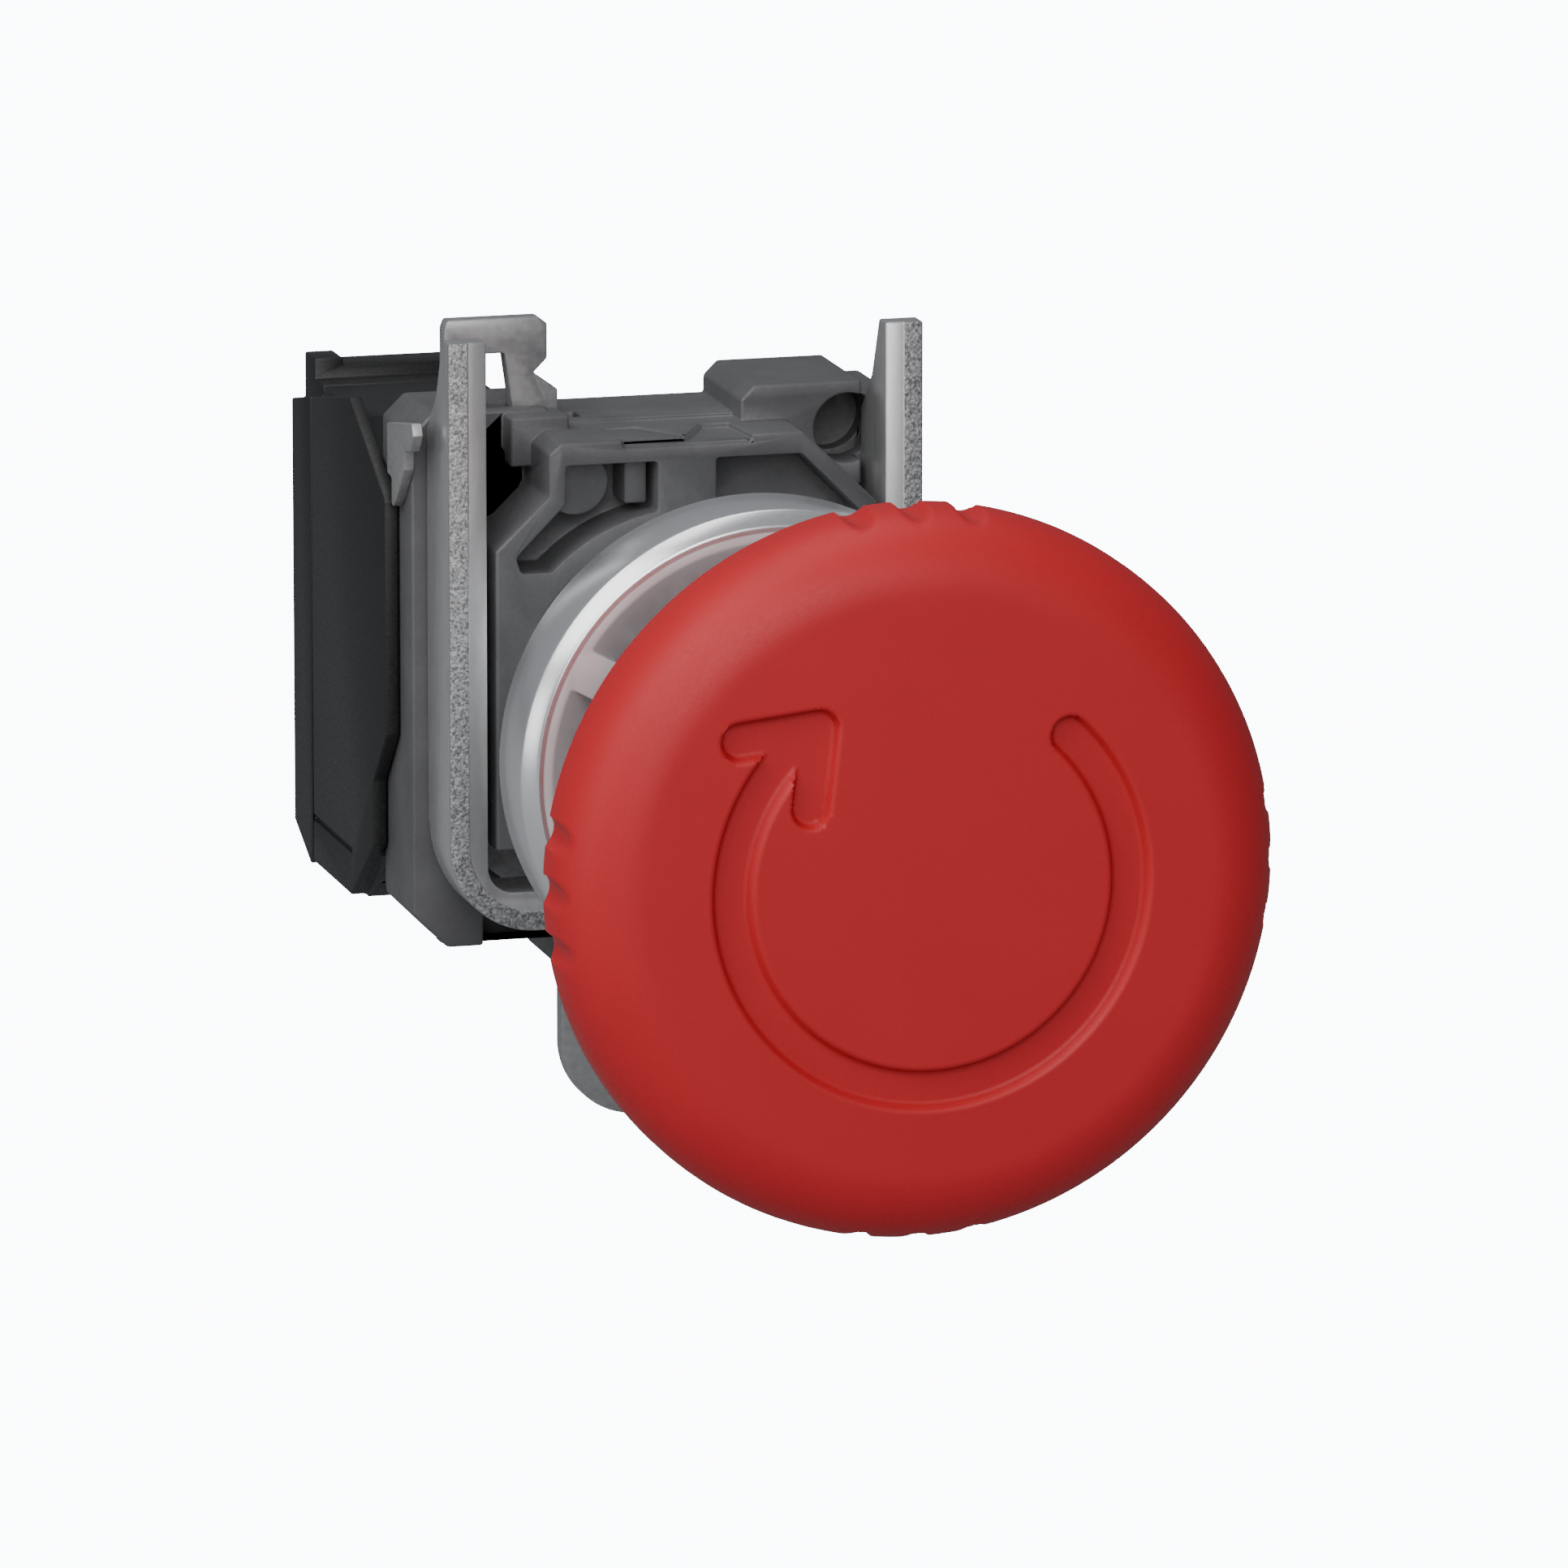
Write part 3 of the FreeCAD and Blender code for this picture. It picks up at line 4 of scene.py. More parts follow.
import bpy
from bpy.props import FloatProperty, FloatVectorProperty, IntProperty, PointerProperty
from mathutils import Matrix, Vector

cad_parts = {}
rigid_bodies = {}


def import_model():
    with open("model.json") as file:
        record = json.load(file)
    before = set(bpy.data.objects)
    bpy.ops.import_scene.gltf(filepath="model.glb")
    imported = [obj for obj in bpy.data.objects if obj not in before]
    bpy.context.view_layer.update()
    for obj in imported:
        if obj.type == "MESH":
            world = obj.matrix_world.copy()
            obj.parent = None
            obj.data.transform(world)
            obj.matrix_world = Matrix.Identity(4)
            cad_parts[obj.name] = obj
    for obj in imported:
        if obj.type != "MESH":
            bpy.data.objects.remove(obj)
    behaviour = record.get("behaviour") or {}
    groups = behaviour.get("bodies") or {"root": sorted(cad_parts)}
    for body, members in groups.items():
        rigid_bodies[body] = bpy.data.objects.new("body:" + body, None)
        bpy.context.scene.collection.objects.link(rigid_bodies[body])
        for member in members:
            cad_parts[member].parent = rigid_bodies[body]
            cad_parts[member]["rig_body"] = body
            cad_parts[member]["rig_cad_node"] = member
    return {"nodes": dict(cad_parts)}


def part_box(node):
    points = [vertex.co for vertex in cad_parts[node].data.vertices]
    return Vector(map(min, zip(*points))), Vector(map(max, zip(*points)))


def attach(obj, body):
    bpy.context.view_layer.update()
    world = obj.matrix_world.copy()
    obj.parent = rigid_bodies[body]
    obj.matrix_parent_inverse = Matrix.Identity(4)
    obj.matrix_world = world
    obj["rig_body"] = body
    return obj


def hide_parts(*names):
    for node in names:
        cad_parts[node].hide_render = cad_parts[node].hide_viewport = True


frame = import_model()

bl_info = {
    "name": "Emergency stop button",
    "version": (1, 0, 0),
    "blender": (4, 5, 0),
    "location": "View3D > Sidebar > Stop button",
    "description": "Builds the looks of a panel-mounted emergency stop button around its packed frame",
    "category": "Object",
}

MM = 0.001
PAPER_GLOW = 12.0  # what the camera sees behind the button
ROOM_GLOW = 0.2    # what the button itself gets from all round
SHARP_EDGE = 32    # degrees between faces, above which an edge is an edge
WELD = 0.002 * MM  # loose corners of a CAD copy nearer than this are one
SPIN_WELD = 0.0005 * MM
FLAT_ENOUGH = math.radians(0.6)
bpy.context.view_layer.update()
BEZEL_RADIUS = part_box("bezel")[1].x


# ---------------------------------------------------------------- small helpers

def linear(hex_colour):
    """A linear colour from an sRGB hex value."""
    parts = [int(hex_colour[i:i + 2], 16) / 255 for i in (1, 3, 5)]
    curve = [p / 12.92 if p <= 0.04045 else ((p + 0.055) / 1.055) ** 2.4 for p in parts]
    return (*curve, 1.0)


def only(piece):
    """Select one object and nothing else."""
    if bpy.context.object and bpy.context.object.mode != "OBJECT":
        bpy.ops.object.mode_set(mode="OBJECT")
    bpy.ops.object.select_all(action="DESELECT")
    piece.select_set(True)
    bpy.context.view_layer.objects.active = piece


def apply_modifier(piece, kind, settings):
    """Add a modifier with its settings and apply it."""
    only(piece)
    modifier = piece.modifiers.new(kind.title(), kind)
    for key, setting in settings.items():
        setattr(modifier, key, setting)
    bpy.ops.object.modifier_apply(modifier=modifier.name)


def smooth(piece, degrees=SHARP_EDGE):
    """Shade a piece smooth, but for edges sharper than an angle in degrees."""
    only(piece)
    bpy.ops.object.shade_smooth_by_angle(angle=math.radians(degrees))


def dress(piece, finish):
    """Give a piece one material, by the material's name."""
    piece.data.materials.clear()
    piece.data.materials.append(bpy.data.materials[finish])


def turned(name, outline, steps):
    """A piece spun about the button's axis from a closed outline of (radius, place along Y) in mm."""
    bpy.ops.object.select_all(action="DESELECT")
    bpy.ops.mesh.primitive_circle_add(vertices=len(outline), radius=MM)
    piece = bpy.context.object
    piece.name = name
    for vertex, (radius, along) in zip(piece.data.vertices, outline):
        vertex.co = Vector((radius, along, 0)) * MM
    bpy.ops.object.mode_set(mode="EDIT")
    bpy.ops.mesh.select_all(action="SELECT")
    bpy.ops.mesh.spin(steps=steps, angle=2 * math.pi, center=(0, 0, 0), axis=(0, 1, 0))
    bpy.ops.mesh.select_all(action="SELECT")
    bpy.ops.mesh.remove_doubles(threshold=SPIN_WELD)
    bpy.ops.mesh.normals_make_consistent(inside=False)
    bpy.ops.object.mode_set(mode="OBJECT")
    return piece


def arc(centre, radius, start, end, count):
    """Points of a round stretch of an outline, between two angles in degrees."""
    angles = [math.radians(start + (end - start) * i / count) for i in range(count + 1)]
    return [(centre[0] + radius * math.cos(a), centre[1] + radius * math.sin(a)) for a in angles]


def softened(node, name, width):
    """A welded copy of a CAD node whose edges have a small round, which stands for that node."""
    only(frame["nodes"][node])
    bpy.ops.object.duplicate()
    piece = bpy.context.object
    piece.name = name
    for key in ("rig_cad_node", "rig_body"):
        if key in piece:
            del piece[key]
    piece.parent = None
    bpy.ops.object.mode_set(mode="EDIT")
    bpy.ops.mesh.select_all(action="SELECT")
    bpy.ops.mesh.remove_doubles(threshold=WELD)
    bpy.ops.mesh.dissolve_limited(angle_limit=FLAT_ENOUGH)
    bpy.ops.object.mode_set(mode="OBJECT")
    apply_modifier(piece, "BEVEL", {
        "width": width * MM, "segments": 2, "limit_method": "ANGLE",
        "angle_limit": math.radians(SHARP_EDGE), "use_clamp_overlap": False, "miter_outer": "MITER_ARC"})
    smooth(piece)
    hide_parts(node)
    return piece


# ---------------------------------------------------------------- materials

def add_node(tree, kind, settings=None, links=None):
    """One node with its settings (inputs by name, or properties) and the sockets that feed it."""
    node = tree.nodes.new(kind)
    for key, setting in (settings or {}).items():
        if key in node.inputs:
            node.inputs[key].default_value = setting
        else:
            setattr(node, key, setting)
    for key, socket in (links or {}).items():
        tree.links.new(socket, node.inputs[key])
    return node


def new_material(name, **sockets):
    """A material with only its Principled shader, and that shader's constants."""
    material = bpy.data.materials.new(name)
    material.use_nodes = True
    shader = material.node_tree.nodes["Principled BSDF"]
    for key, setting in sockets.items():
        shader.inputs[key.replace("_", " ")].default_value = setting
    return material, material.node_tree, shader


def places(tree):
    """Places on the piece, in its own metres, for the patterns to follow."""
    return add_node(tree, "ShaderNodeTexCoord").outputs["Object"]


def grain(tree, where, size_mm, detail=3.0, stretch=None):
    """Noise whose grains are about size_mm across."""
    if stretch:
        where = add_node(tree, "ShaderNodeMapping", {"Scale": stretch}, {"Vector": where}).outputs[0]
    return add_node(tree, "ShaderNodeTexNoise",
                    {"Scale": 1 / (size_mm * MM), "Detail": detail, "Roughness": 0.55},
                    {"Vector": where}).outputs[0]


def spread(tree, value, low, high):
    """A noise value spread from its usual middle band to between low and high."""
    return add_node(tree, "ShaderNodeMapRange",
                    {"From Min": 0.32, "From Max": 0.68, "To Min": low, "To Max": high},
                    {"Value": value}).outputs[0]


def mixed(tree, value, dark, light):
    """A colour between two, by a value."""
    ramp = tree.nodes.new("ShaderNodeValToRGB")
    ramp.color_ramp.elements[0].color = linear(dark)
    ramp.color_ramp.elements[1].color = linear(light)
    tree.links.new(value, ramp.inputs["Fac"])
    return ramp.outputs["Color"]


def bump(tree, shader, height, depth_mm, strength):
    """Raise the surface to the eye by a height pattern."""
    node = add_node(tree, "ShaderNodeBump", {"Strength": strength, "Distance": depth_mm * MM},
                    {"Height": height})
    tree.links.new(node.outputs["Normal"], shader.inputs["Normal"])


def cap_plastic():
    """Red ABS, moulded in a finely spark-eroded tool: even colour, soft broad sheen."""
    material, tree, shader = new_material("red_moulded_abs", Roughness=0.5, IOR=1.4)
    where = places(tree)
    fine = grain(tree, where, 0.22)
    broad = grain(tree, where, 9.0)
    tree.links.new(mixed(tree, spread(tree, broad, 0.2, 0.8), "#B21C23", "#B91F26"),
                   shader.inputs["Base Color"])
    tree.links.new(spread(tree, fine, 0.46, 0.56), shader.inputs["Roughness"])
    bump(tree, shader, fine, 0.012, 0.5)


def zinc_casting():
    """Die-cast zinc under a dark chromate: matt, with the faint grain of the die."""
    material, tree, shader = new_material("dark_chromated_zinc", Metallic=0.35, Roughness=0.55)
    where = places(tree)
    fine = grain(tree, where, 0.3)
    broad = grain(tree, where, 4.0)
    tree.links.new(mixed(tree, spread(tree, broad, 0.0, 1.0), "#58585A", "#626264"),
                   shader.inputs["Base Color"])
    tree.links.new(spread(tree, fine, 0.5, 0.66), shader.inputs["Roughness"])
    bump(tree, shader, fine, 0.02, 0.6)


def bezel_chrome():
    """Zinc with satin chrome plate: bright, with soft reflections and fine turning marks."""
    material, tree, shader = new_material("satin_chrome_plate", Metallic=0.8, Roughness=0.25)
    where = places(tree)
    fine = grain(tree, where, 0.5, stretch=(1, 9, 1))
    tree.links.new(mixed(tree, spread(tree, grain(tree, where, 6.0), 0.0, 1.0), "#E4E5E7", "#E8E9EB"),
                   shader.inputs["Base Color"])
    tree.links.new(spread(tree, fine, 0.25, 0.27), shader.inputs["Roughness"])
    # the bowl, inside the bright chamfer, is only blasted and plated: it shows far less reflection
    apart = add_node(tree, "ShaderNodeSeparateXYZ", links={"Vector": where})
    flat = add_node(tree, "ShaderNodeCombineXYZ", links={"X": apart.outputs["X"], "Y": apart.outputs["Z"]})
    reach = add_node(tree, "ShaderNodeVectorMath", {"operation": "LENGTH"}, {0: flat.outputs[0]})
    mouth = BEZEL_RADIUS - 1.1 * MM
    plated = add_node(tree, "ShaderNodeMapRange",
                      {"From Min": mouth - 0.1 * MM, "From Max": mouth, "To Min": 0.25, "To Max": 0.85},
                      {"Value": reach.outputs["Value"]})
    tree.links.new(plated.outputs[0], shader.inputs["Metallic"])
    bump(tree, shader, fine, 0.0004, 0.02)


def yoke_steel():
    """Blanked zinc-plated steel: a smooth sheared band inside, a torn granular band outside."""
    material, tree, shader = new_material("blanked_zinc_steel", Metallic=0.85, Roughness=0.36)
    where = places(tree)
    lo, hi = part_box("clamp_yoke")
    corner = 5.0 * MM  # outside radius of the U's bends
    band_width = 1.12 * MM
    band_blur = 0.04 * MM
    apart = add_node(tree, "ShaderNodeSeparateXYZ", links={"Vector": where})
    side = add_node(tree, "ShaderNodeMath", {"operation": "ABSOLUTE"}, {0: apart.outputs["X"]})
    side = add_node(tree, "ShaderNodeMath", {"operation": "SUBTRACT"}, {0: side.outputs[0]})
    side.inputs[1].default_value = hi.x - corner
    down = add_node(tree, "ShaderNodeMath", {"operation": "MULTIPLY_ADD"}, {0: apart.outputs["Z"]})
    down.inputs[1].default_value = -1.0
    down.inputs[2].default_value = lo.z + corner
    corner_way = []
    for way in (side, down):
        node = add_node(tree, "ShaderNodeMath", {"operation": "MAXIMUM"}, {0: way.outputs[0]})
        node.inputs[1].default_value = 0.0
        corner_way.append(node.outputs[0])
    joined = add_node(tree, "ShaderNodeCombineXYZ", links={"X": corner_way[0], "Y": corner_way[1]})
    reach = add_node(tree, "ShaderNodeVectorMath", {"operation": "LENGTH"}, {0: joined.outputs[0]})
    band = add_node(tree, "ShaderNodeMapRange",
                    {"From Min": corner - band_width - band_blur,
                     "From Max": corner - band_width + band_blur},
                    {"Value": reach.outputs["Value"]})
    front = add_node(tree, "ShaderNodeMapRange",
                     {"From Min": lo.y + 0.12 * MM, "From Max": lo.y + 0.02 * MM},
                     {"Value": apart.outputs["Y"]})
    torn = add_node(tree, "ShaderNodeMath", {"operation": "MULTIPLY"},
                    {0: band.outputs[0], 1: front.outputs[0]}).outputs[0]
    coarse = grain(tree, where, 0.16, detail=2.0)
    fine = grain(tree, where, 0.5, stretch=(1, 1, 0.2))
    smooth_colour = mixed(tree, spread(tree, fine, 0.0, 1.0), "#C2C2C3", "#CDCDCE")
    torn_colour = mixed(tree, spread(tree, coarse, 0.0, 1.0), "#6F6F70", "#C4C4C5")
    colour = add_node(tree, "ShaderNodeMix", {"data_type": "RGBA"})
    tree.links.new(torn, colour.inputs["Factor"])
    tree.links.new(smooth_colour, colour.inputs[6])
    tree.links.new(torn_colour, colour.inputs[7])
    tree.links.new(colour.outputs[2], shader.inputs["Base Color"])
    rough = add_node(tree, "ShaderNodeMapRange", {"To Min": 0.34, "To Max": 0.62}, {"Value": torn})
    tree.links.new(rough.outputs[0], shader.inputs["Roughness"])
    height = add_node(tree, "ShaderNodeMath", {"operation": "MULTIPLY"}, {0: torn, 1: coarse})
    bump(tree, shader, height.outputs[0], 0.08, 0.9)


def plain_metal(name, dark, light, roughness, metallic=0.85, grain_mm=0.4, stretch=None):
    """A metal with a quiet grain, for the pieces that only need their own tone."""
    material, tree, shader = new_material(name, Metallic=metallic, Roughness=roughness)
    where = places(tree)
    fine = grain(tree, where, grain_mm, stretch=stretch)
    tree.links.new(mixed(tree, spread(tree, fine, 0.0, 1.0), dark, light), shader.inputs["Base Color"])
    tree.links.new(spread(tree, fine, roughness - 0.06, roughness + 0.06), shader.inputs["Roughness"])
    bump(tree, shader, fine, 0.006, 0.4)


def moulded(name, dark, light, roughness, grain_mm=0.25):
    """A plastic or rubber with a fine moulded grain."""
    material, tree, shader = new_material(name, Roughness=roughness, IOR=1.5)
    where = places(tree)
    fine = grain(tree, where, grain_mm)
    tree.links.new(mixed(tree, spread(tree, fine, 0.0, 1.0), dark, light), shader.inputs["Base Color"])
    tree.links.new(spread(tree, fine, roughness - 0.07, roughness + 0.07), shader.inputs["Roughness"])
    bump(tree, shader, fine, 0.02, 0.5)


def make_finishes():
    """Every material of the button."""
    cap_plastic()
    zinc_casting()
    bezel_chrome()
    yoke_steel()
    # galvanised strip: even light grey, softly reflecting
    plain_metal("galvanised_strip", "#9B9B9C", "#A8A8A9", 0.42, 0.7)
    # ground steel, for rods and screws: brighter, with marks round the axis
    plain_metal("ground_steel", "#A6A6A8", "#B4B4B6", 0.3, 0.95, 0.3, (1, 4, 1))
    # spring wire: drawn, slightly darker than the screws
    plain_metal("drawn_spring_wire", "#85868A", "#96979B", 0.33, 0.95, 0.2)
    # brass strip, stamped: warm and a little dull
    plain_metal("stamped_brass", "#B08A45", "#C39C55", 0.35, 0.95, 0.3)
    # glass-filled polyamide, black: dull with a sandy grain
    moulded("black_polyamide", "#0E0E0F", "#141415", 0.5)
    moulded("grey_polyamide", "#3B3B3D", "#454547", 0.5)
    moulded("red_polyamide", "#8E2023", "#9C272A", 0.45)
    moulded("black_rubber", "#141414", "#1B1B1B", 0.7)


NODE_FINISH = {
    "panel_gasket": "black_rubber", "stem_seal": "black_rubber", "pawl_housing": "grey_polyamide",
    "spring_seat": "galvanised_strip", "retaining_ring": "drawn_spring_wire",
    "pawl_spring_left": "drawn_spring_wire", "pawl_spring_right": "drawn_spring_wire",
    "return_spring": "drawn_spring_wire", "turn_spring": "drawn_spring_wire",
    "cap_clip": "drawn_spring_wire", "pusher_clip": "drawn_spring_wire",
    "latch_pawl_left": "ground_steel", "latch_pawl_right": "ground_steel",
    "fixed_contact_upper": "stamped_brass", "fixed_contact_lower": "stamped_brass",
    "contact_bridge": "stamped_brass", "contact_spring": "drawn_spring_wire",
    "latch_spring": "drawn_spring_wire", "plunger_spring": "drawn_spring_wire",
}

# CAD node: (piece, body, finish, edge round in mm)
SOFTENED = {
    "collar_frame": ("fixing_collar", "collar", "dark_chromated_zinc", 0.16),
    "clamp_yoke": ("steel_yoke", "yoke", "blanked_zinc_steel", 0.12),
    "latch_plate": ("lock_plate", "latch", "galvanised_strip", 0.1),
    "side_hook": ("block_hook", "collar", "galvanised_strip", 0.08),
    "block_housing": ("contact_housing", "collar", "black_polyamide", 0.12),
    "block_cover": ("contact_cover", "collar", "black_polyamide", 0.12),
    "block_plunger": ("contact_plunger", "plunger", "red_polyamide", 0.08),
    "clamp_screw": ("grub_screw", "yoke_screw", "ground_steel", 0.12),
    "bezel": ("chrome_bezel", "head", "satin_chrome_plate", 0.12),
    "cap_core": ("turning_core", "cap", "grey_polyamide", 0.15),
    "spindle": ("steel_spindle", "actuator", "ground_steel", 0.08),
    "rear_pusher": ("pusher_disc", "actuator", "grey_polyamide", 0.12),
    "terminal_clamp_upper": ("upper_wire_cage", "clamp_upper", "galvanised_strip", 0.1),
    "terminal_clamp_lower": ("lower_wire_cage", "clamp_lower", "galvanised_strip", 0.1),
    "terminal_screw_upper": ("upper_wire_screw", "screw_upper", "ground_steel", 0.12),
    "terminal_screw_lower": ("lower_wire_screw", "screw_lower", "ground_steel", 0.12),
}


# ---------------------------------------------------------------- settings

class CapSettings(bpy.types.PropertyGroup):
    radius: FloatProperty(name="Radius", description="Cap, outside radius", default=20.0 * MM,
                          unit="LENGTH")
    edge_round: FloatProperty(name="Edge round", description="Round between face and rim",
                              default=4.4 * MM, unit="LENGTH")
    arrow_radius: FloatProperty(name="Arrow radius", description="Centre line of the turn arrow",
                                default=11.0 * MM, unit="LENGTH")
    arrow_width: FloatProperty(name="Arrow width", description="Width of the turn arrow's groove",
                               default=2.0 * MM, unit="LENGTH")
    arrow_depth: FloatProperty(name="Arrow depth", description="Depth of the turn arrow",
                               default=0.65 * MM, unit="LENGTH")
    grip_depth: FloatProperty(name="Grip depth", description="Bite of a grip notch into the rim",
                              default=0.55 * MM, unit="LENGTH")
    grip_radius: FloatProperty(name="Grip radius", description="Radius of a grip notch",
                               default=0.9 * MM, unit="LENGTH")
    grip_pitch: FloatProperty(name="Grip pitch", description="Angle between grip notches",
                              default=math.radians(9.0), subtype="ANGLE")
    steps: IntProperty(name="Steps", description="Facets round the cap", default=600)


class StageSettings(bpy.types.PropertyGroup):
    eye: FloatVectorProperty(name="Eye", description="Place of the camera",
                             default=(-0.2111, -0.7838, 0.1735), subtype="TRANSLATION")
    yaw: FloatProperty(name="Yaw", description="Camera's turn to the right of straight on",
                       default=math.radians(15.2), subtype="ANGLE")
    pitch: FloatProperty(name="Pitch", description="Camera's dip below level",
                         default=math.radians(12.2), subtype="ANGLE")
    lens: FloatProperty(name="Lens", description="Focal length in millimetres", default=343.0)
    floor_drop: FloatProperty(name="Floor drop", description="Floor below the button's axis",
                              default=0.06, unit="LENGTH")


# ---------------------------------------------------------------- red cap

# Centre lines of the arrow's head, as shares of the arrow's radius: its tip and the ends of its two bars.
ARROW_HEAD = ((-0.564, 0.818), (-0.955, 0.773), (-0.609, 0.427))
ARROW_TAIL = math.radians(46.0)


def distance_to_stretch(point, start, end):
    """Distance from a point to a straight stretch."""
    along = end - start
    share = max(0.0, min(1.0, (point - start).dot(along) / along.length_squared))
    return (point - start - along * share).length


def arrow_distance(point, cap):
    """Distance from a point of the cap's face to the centre lines of the turn arrow."""
    radius = cap.arrow_radius
    tip, left, right = (Vector(spot) * radius for spot in ARROW_HEAD)
    tail, neck = ARROW_TAIL, math.atan2(tip.y, tip.x) - 2 * math.pi
    angle = math.atan2(point.y, point.x)
    if angle > (tail + neck) / 2 + math.pi:
        angle -= 2 * math.pi
    if neck <= angle <= tail:
        shaft = abs(point.length - radius)
    else:
        shaft = (point - Vector((math.cos(tail), math.sin(tail))) * radius).length
    return min(shaft, distance_to_stretch(point, left, tip), distance_to_stretch(point, tip, right))


def smoothstep(value):
    """An even rise from 0 to 1 with soft ends."""
    value = max(0.0, min(1.0, value))
    return value * value * (3 - 2 * value)


def cap_outline(cap):
    """Outline of the cap: face, rim, flare, skirt and hollow, as (radius, place along Y) in mm."""
    lo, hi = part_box("mushroom_cap")
    face, end = lo.y / MM, hi.y / MM
    radius, turn = cap.radius / MM, cap.edge_round / MM
    dome, skirt, bore, bore_depth, lip = 0.3, 10.0, 8.6, 12.0, 0.5
    flat, rim = radius - turn, face + dome + turn
    # close rings where the arrow lies, so that its walls come out clean
    inner = cap.arrow_radius / MM - 4.8
    outer = cap.arrow_radius / MM + 3.8
    rings = [0.0, 2.5, 4.5, 5.6] + [inner + (outer - inner) * i / 60 for i in range(61)]
    points = [(r, face + dome * (r / flat) ** 2) for r in rings]
    points += arc((flat, rim), turn, -90, 0, 16)
    points += arc((radius - 1.0, rim + 0.9), 1.0, 0, 62, 6)
    # the flare is one sweep from the brim to the waist, with a knee near each end
    waist = Vector((skirt, rim + 16.5))
    brim = Vector((radius - 1.6, rim + 2.2))
    knee = Vector((radius - 5.6, rim + 3.4)), Vector((10.1, rim + 7.5))
    for i in range(18):
        t = i / 17
        s = 1 - t
        spot = brim * s ** 3 + knee[0] * 3 * s * s * t + knee[1] * 3 * s * t * t + waist * t ** 3
        points.append((spot.x, spot.y))
    points += arc((skirt - lip, end - lip), lip, 0, 90, 4)
    points += [(bore + 0.2, end), (bore, end - 0.2), (bore, end - bore_depth), (0.0, end - bore_depth)]
    return points


def make_cap(settings):
    """The red cap: spun, then its arrow sunk and its grip notches cut."""
    piece = turned("red_cap", cap_outline(settings), settings.steps)
    group = piece.vertex_groups.new(name="arrow")
    half, soft = settings.arrow_width / 2, 0.28 * MM  # soft: width of the groove's sloping wall
    face_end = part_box("mushroom_cap")[0].y + 2 * MM
    rim_end = -30.0 * MM
    for vertex in piece.data.vertices:
        if vertex.co.y < face_end:
            gap = arrow_distance(Vector((vertex.co.x, vertex.co.z)), settings)
            weight = smoothstep((half + soft / 2 - gap) / soft)
            if weight > 0:
                group.add([vertex.index], weight, "REPLACE")
    apply_modifier(piece, "DISPLACE", {"direction": "Y", "strength": settings.arrow_depth,
                                       "mid_level": 0.0, "vertex_group": "arrow"})
    bite = settings.radius - settings.grip_depth + settings.grip_radius
    for quarter in range(4):
        for step in (-1, 0, 1):
            angle = quarter * math.pi / 2 + step * settings.grip_pitch
            across = Vector((math.cos(angle), math.sin(angle)))
            for vertex in piece.data.vertices:
                spot = Vector((vertex.co.x, vertex.co.z))
                if vertex.co.y > rim_end or spot.dot(across) < 0.9 * settings.radius:
                    continue
                side = abs(spot.x * across.y - spot.y * across.x)
                if side < settings.grip_radius:
                    limit = bite - math.sqrt(settings.grip_radius ** 2 - side ** 2)
                    depth = spot.dot(across) - limit
                    if depth > 0:
                        vertex.co.x -= across.x * depth
                        vertex.co.z -= across.y * depth
    smooth(piece, 50)
    dress(piece, "red_moulded_abs")
    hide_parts("mushroom_cap")
    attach(piece, "cap")


class OBJECT_OT_stop_button_cap(bpy.types.Operator):
    """Spin the red cap, sink its turn arrow and cut its grip notches"""
    bl_idname = "object.stop_button_cap"
    bl_label = "Red cap"

    def execute(self, context):
        make_cap(context.scene.stop_button_cap)
        return {"FINISHED"}


class OBJECT_OT_stop_button_finishes(bpy.types.Operator):
    """Make every material of the button"""
    bl_idname = "object.stop_button_finishes"
    bl_label = "Finishes"

    def execute(self, context):
        make_finishes()
        return {"FINISHED"}


class OBJECT_OT_stop_button_castings(bpy.types.Operator):
    """Round the edges of the metal and moulded pieces, and give the inner pieces their finish"""
    bl_idname = "object.stop_button_castings"
    bl_label = "Castings and mouldings"

    def execute(self, context):
        for node, finish in NODE_FINISH.items():
            dress(frame["nodes"][node], finish)
        for node, (name, body, finish, width) in SOFTENED.items():
            piece = softened(node, name, width)
            dress(piece, finish)
            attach(piece, body)
        return {"FINISHED"}


# ---------------------------------------------------------------- stage

def add_light(name, place, size, power):
    """A soft rectangular light of a size in metres, aimed at the button."""
    bpy.ops.object.select_all(action="DESELECT")
    bpy.ops.object.light_add(type="AREA", location=place)
    light = bpy.context.object
    light.name = name
    light.data.shape = "RECTANGLE"
    light.data.size, light.data.size_y = size
    light.data.energy = power
    light.rotation_euler = (-Vector(place)).to_track_quat("-Z", "Y").to_euler()


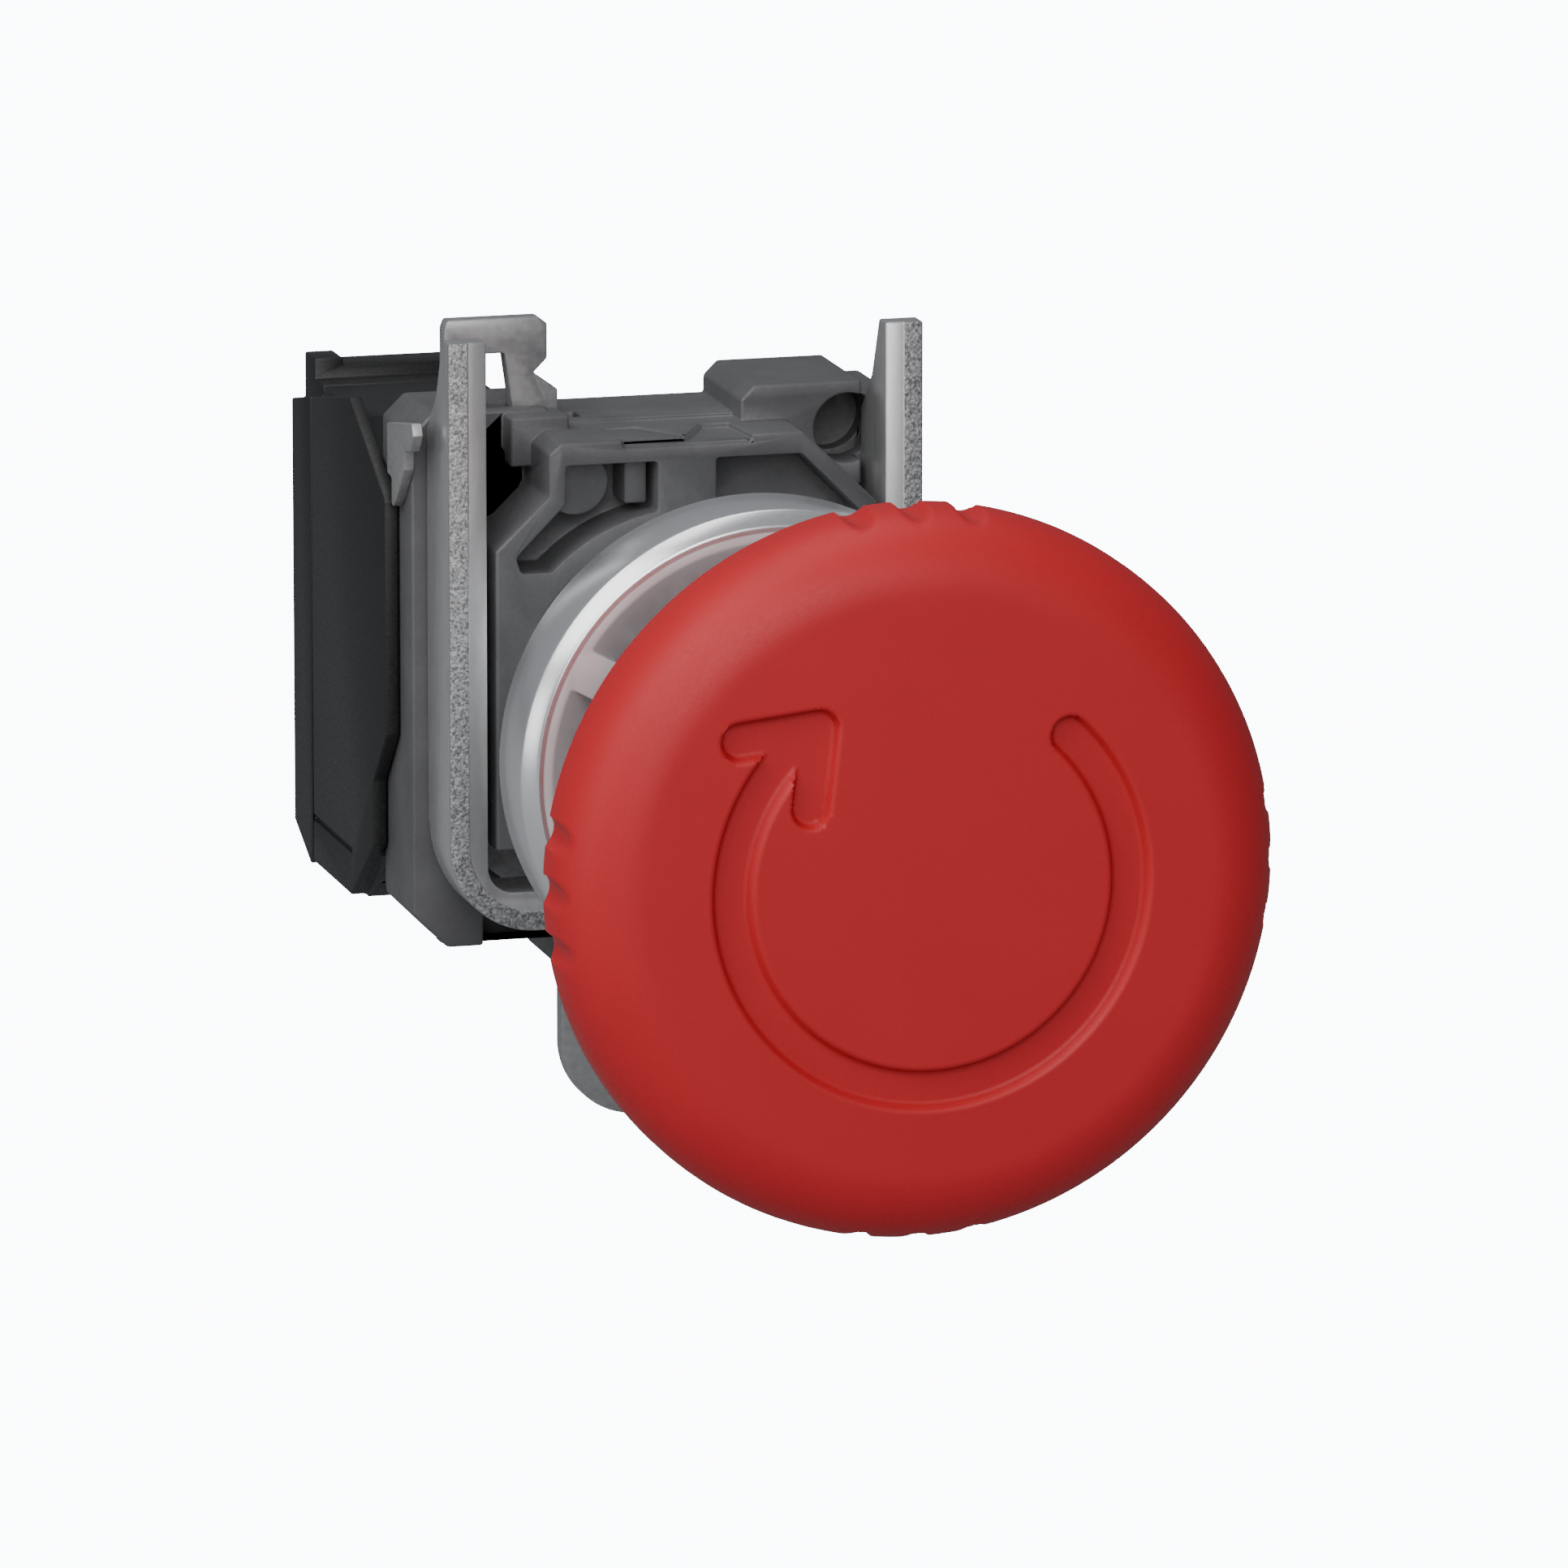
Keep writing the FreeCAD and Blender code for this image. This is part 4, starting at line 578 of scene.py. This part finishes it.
def make_stage(settings):
    """The floor, the room, its lights and the camera."""
    bpy.ops.object.select_all(action="DESELECT")
    bpy.ops.mesh.primitive_plane_add(size=8, location=(0, 1.0, -settings.floor_drop))
    floor = bpy.context.object
    floor.name = "pale_floor"
    # evenly lit paper: white to the eye, while it gives the button only a little light
    material, tree, shader = new_material("pale_matt_floor", Roughness=0.9)
    shader.inputs["Base Color"].default_value = linear("#8C8E90")
    shader.inputs["Emission Color"].default_value = linear("#F3F8FF")
    seen = add_node(tree, "ShaderNodeLightPath").outputs["Is Camera Ray"]
    glow = add_node(tree, "ShaderNodeMath", {"operation": "MULTIPLY"}, {0: seen})
    glow.inputs[1].default_value = PAPER_GLOW
    tree.links.new(glow.outputs[0], shader.inputs["Emission Strength"])
    floor.data.materials.append(material)
    world = bpy.data.worlds.new("soft_studio")
    bpy.context.scene.world = world
    world.use_nodes = True
    background = world.node_tree.nodes["Background"]
    background.inputs["Color"].default_value = linear("#F3F8FF")
    seen = add_node(world.node_tree, "ShaderNodeLightPath").outputs["Is Camera Ray"]
    glow = add_node(world.node_tree, "ShaderNodeMapRange", {"To Min": ROOM_GLOW, "To Max": PAPER_GLOW},
                    {"Value": seen})
    world.node_tree.links.new(glow.outputs[0], background.inputs["Strength"])
    add_light("front_softbox", (-0.25, -1.1, 0.55), (0.8, 0.8), 9.5)
    add_light("top_softbox", (-0.1, 0.1, 1.1), (0.9, 0.5), 4)
    add_light("upper_left_softbox", (-0.75, -0.38, 0.8), (0.8, 0.8), 8)
    add_light("left_strip", (-1.1, -0.3, -0.12), (0.5, 0.9), 4)
    add_light("low_front_card", (0.31, -1.14, -0.2), (0.35, 0.35), 0.8)
    camera_data = bpy.data.cameras.new("front_left_view")
    camera = bpy.data.objects.new("front_left_view", camera_data)
    bpy.context.scene.collection.objects.link(camera)
    camera_data.lens = settings.lens
    camera_data.sensor_width = 36.0
    camera_data.clip_start, camera_data.clip_end = 0.05, 20.0
    look = Vector((math.sin(settings.yaw) * math.cos(settings.pitch),
                   math.cos(settings.yaw) * math.cos(settings.pitch), -math.sin(settings.pitch)))
    camera.location = settings.eye
    camera.rotation_euler = look.to_track_quat("-Z", "Y").to_euler()
    bpy.context.scene.camera = camera


class OBJECT_OT_stop_button_stage(bpy.types.Operator):
    """Lay the pale floor, hang the soft lights and place the camera"""
    bl_idname = "object.stop_button_stage"
    bl_label = "Stage"

    def execute(self, context):
        make_stage(context.scene.stop_button_stage)
        return {"FINISHED"}


class VIEW3D_PT_stop_button(bpy.types.Panel):
    """The button's pieces and their sizes"""
    bl_idname = "VIEW3D_PT_stop_button"
    bl_label = "Stop button"
    bl_space_type = "VIEW_3D"
    bl_region_type = "UI"
    bl_category = "Stop button"

    def draw(self, context):
        layout = self.layout
        for settings in (context.scene.stop_button_cap, context.scene.stop_button_stage):
            for key in settings.bl_rna.properties.keys():
                if key not in ("rna_type", "name"):
                    layout.prop(settings, key)
        for operator in OPERATORS:
            layout.operator(operator.bl_idname)


OPERATORS = (OBJECT_OT_stop_button_finishes, OBJECT_OT_stop_button_castings,
             OBJECT_OT_stop_button_cap, OBJECT_OT_stop_button_stage)
CLASSES = (CapSettings, StageSettings, *OPERATORS, VIEW3D_PT_stop_button)


def register():
    for each in CLASSES:
        bpy.utils.register_class(each)
    bpy.types.Scene.stop_button_cap = PointerProperty(type=CapSettings)
    bpy.types.Scene.stop_button_stage = PointerProperty(type=StageSettings)


def unregister():
    del bpy.types.Scene.stop_button_stage
    del bpy.types.Scene.stop_button_cap
    for each in reversed(CLASSES):
        bpy.utils.unregister_class(each)


def main():
    register()
    bpy.ops.object.stop_button_finishes()
    bpy.ops.object.stop_button_castings()
    bpy.ops.object.stop_button_cap()
    bpy.ops.object.stop_button_stage()


if __name__ == "__main__":
    main()
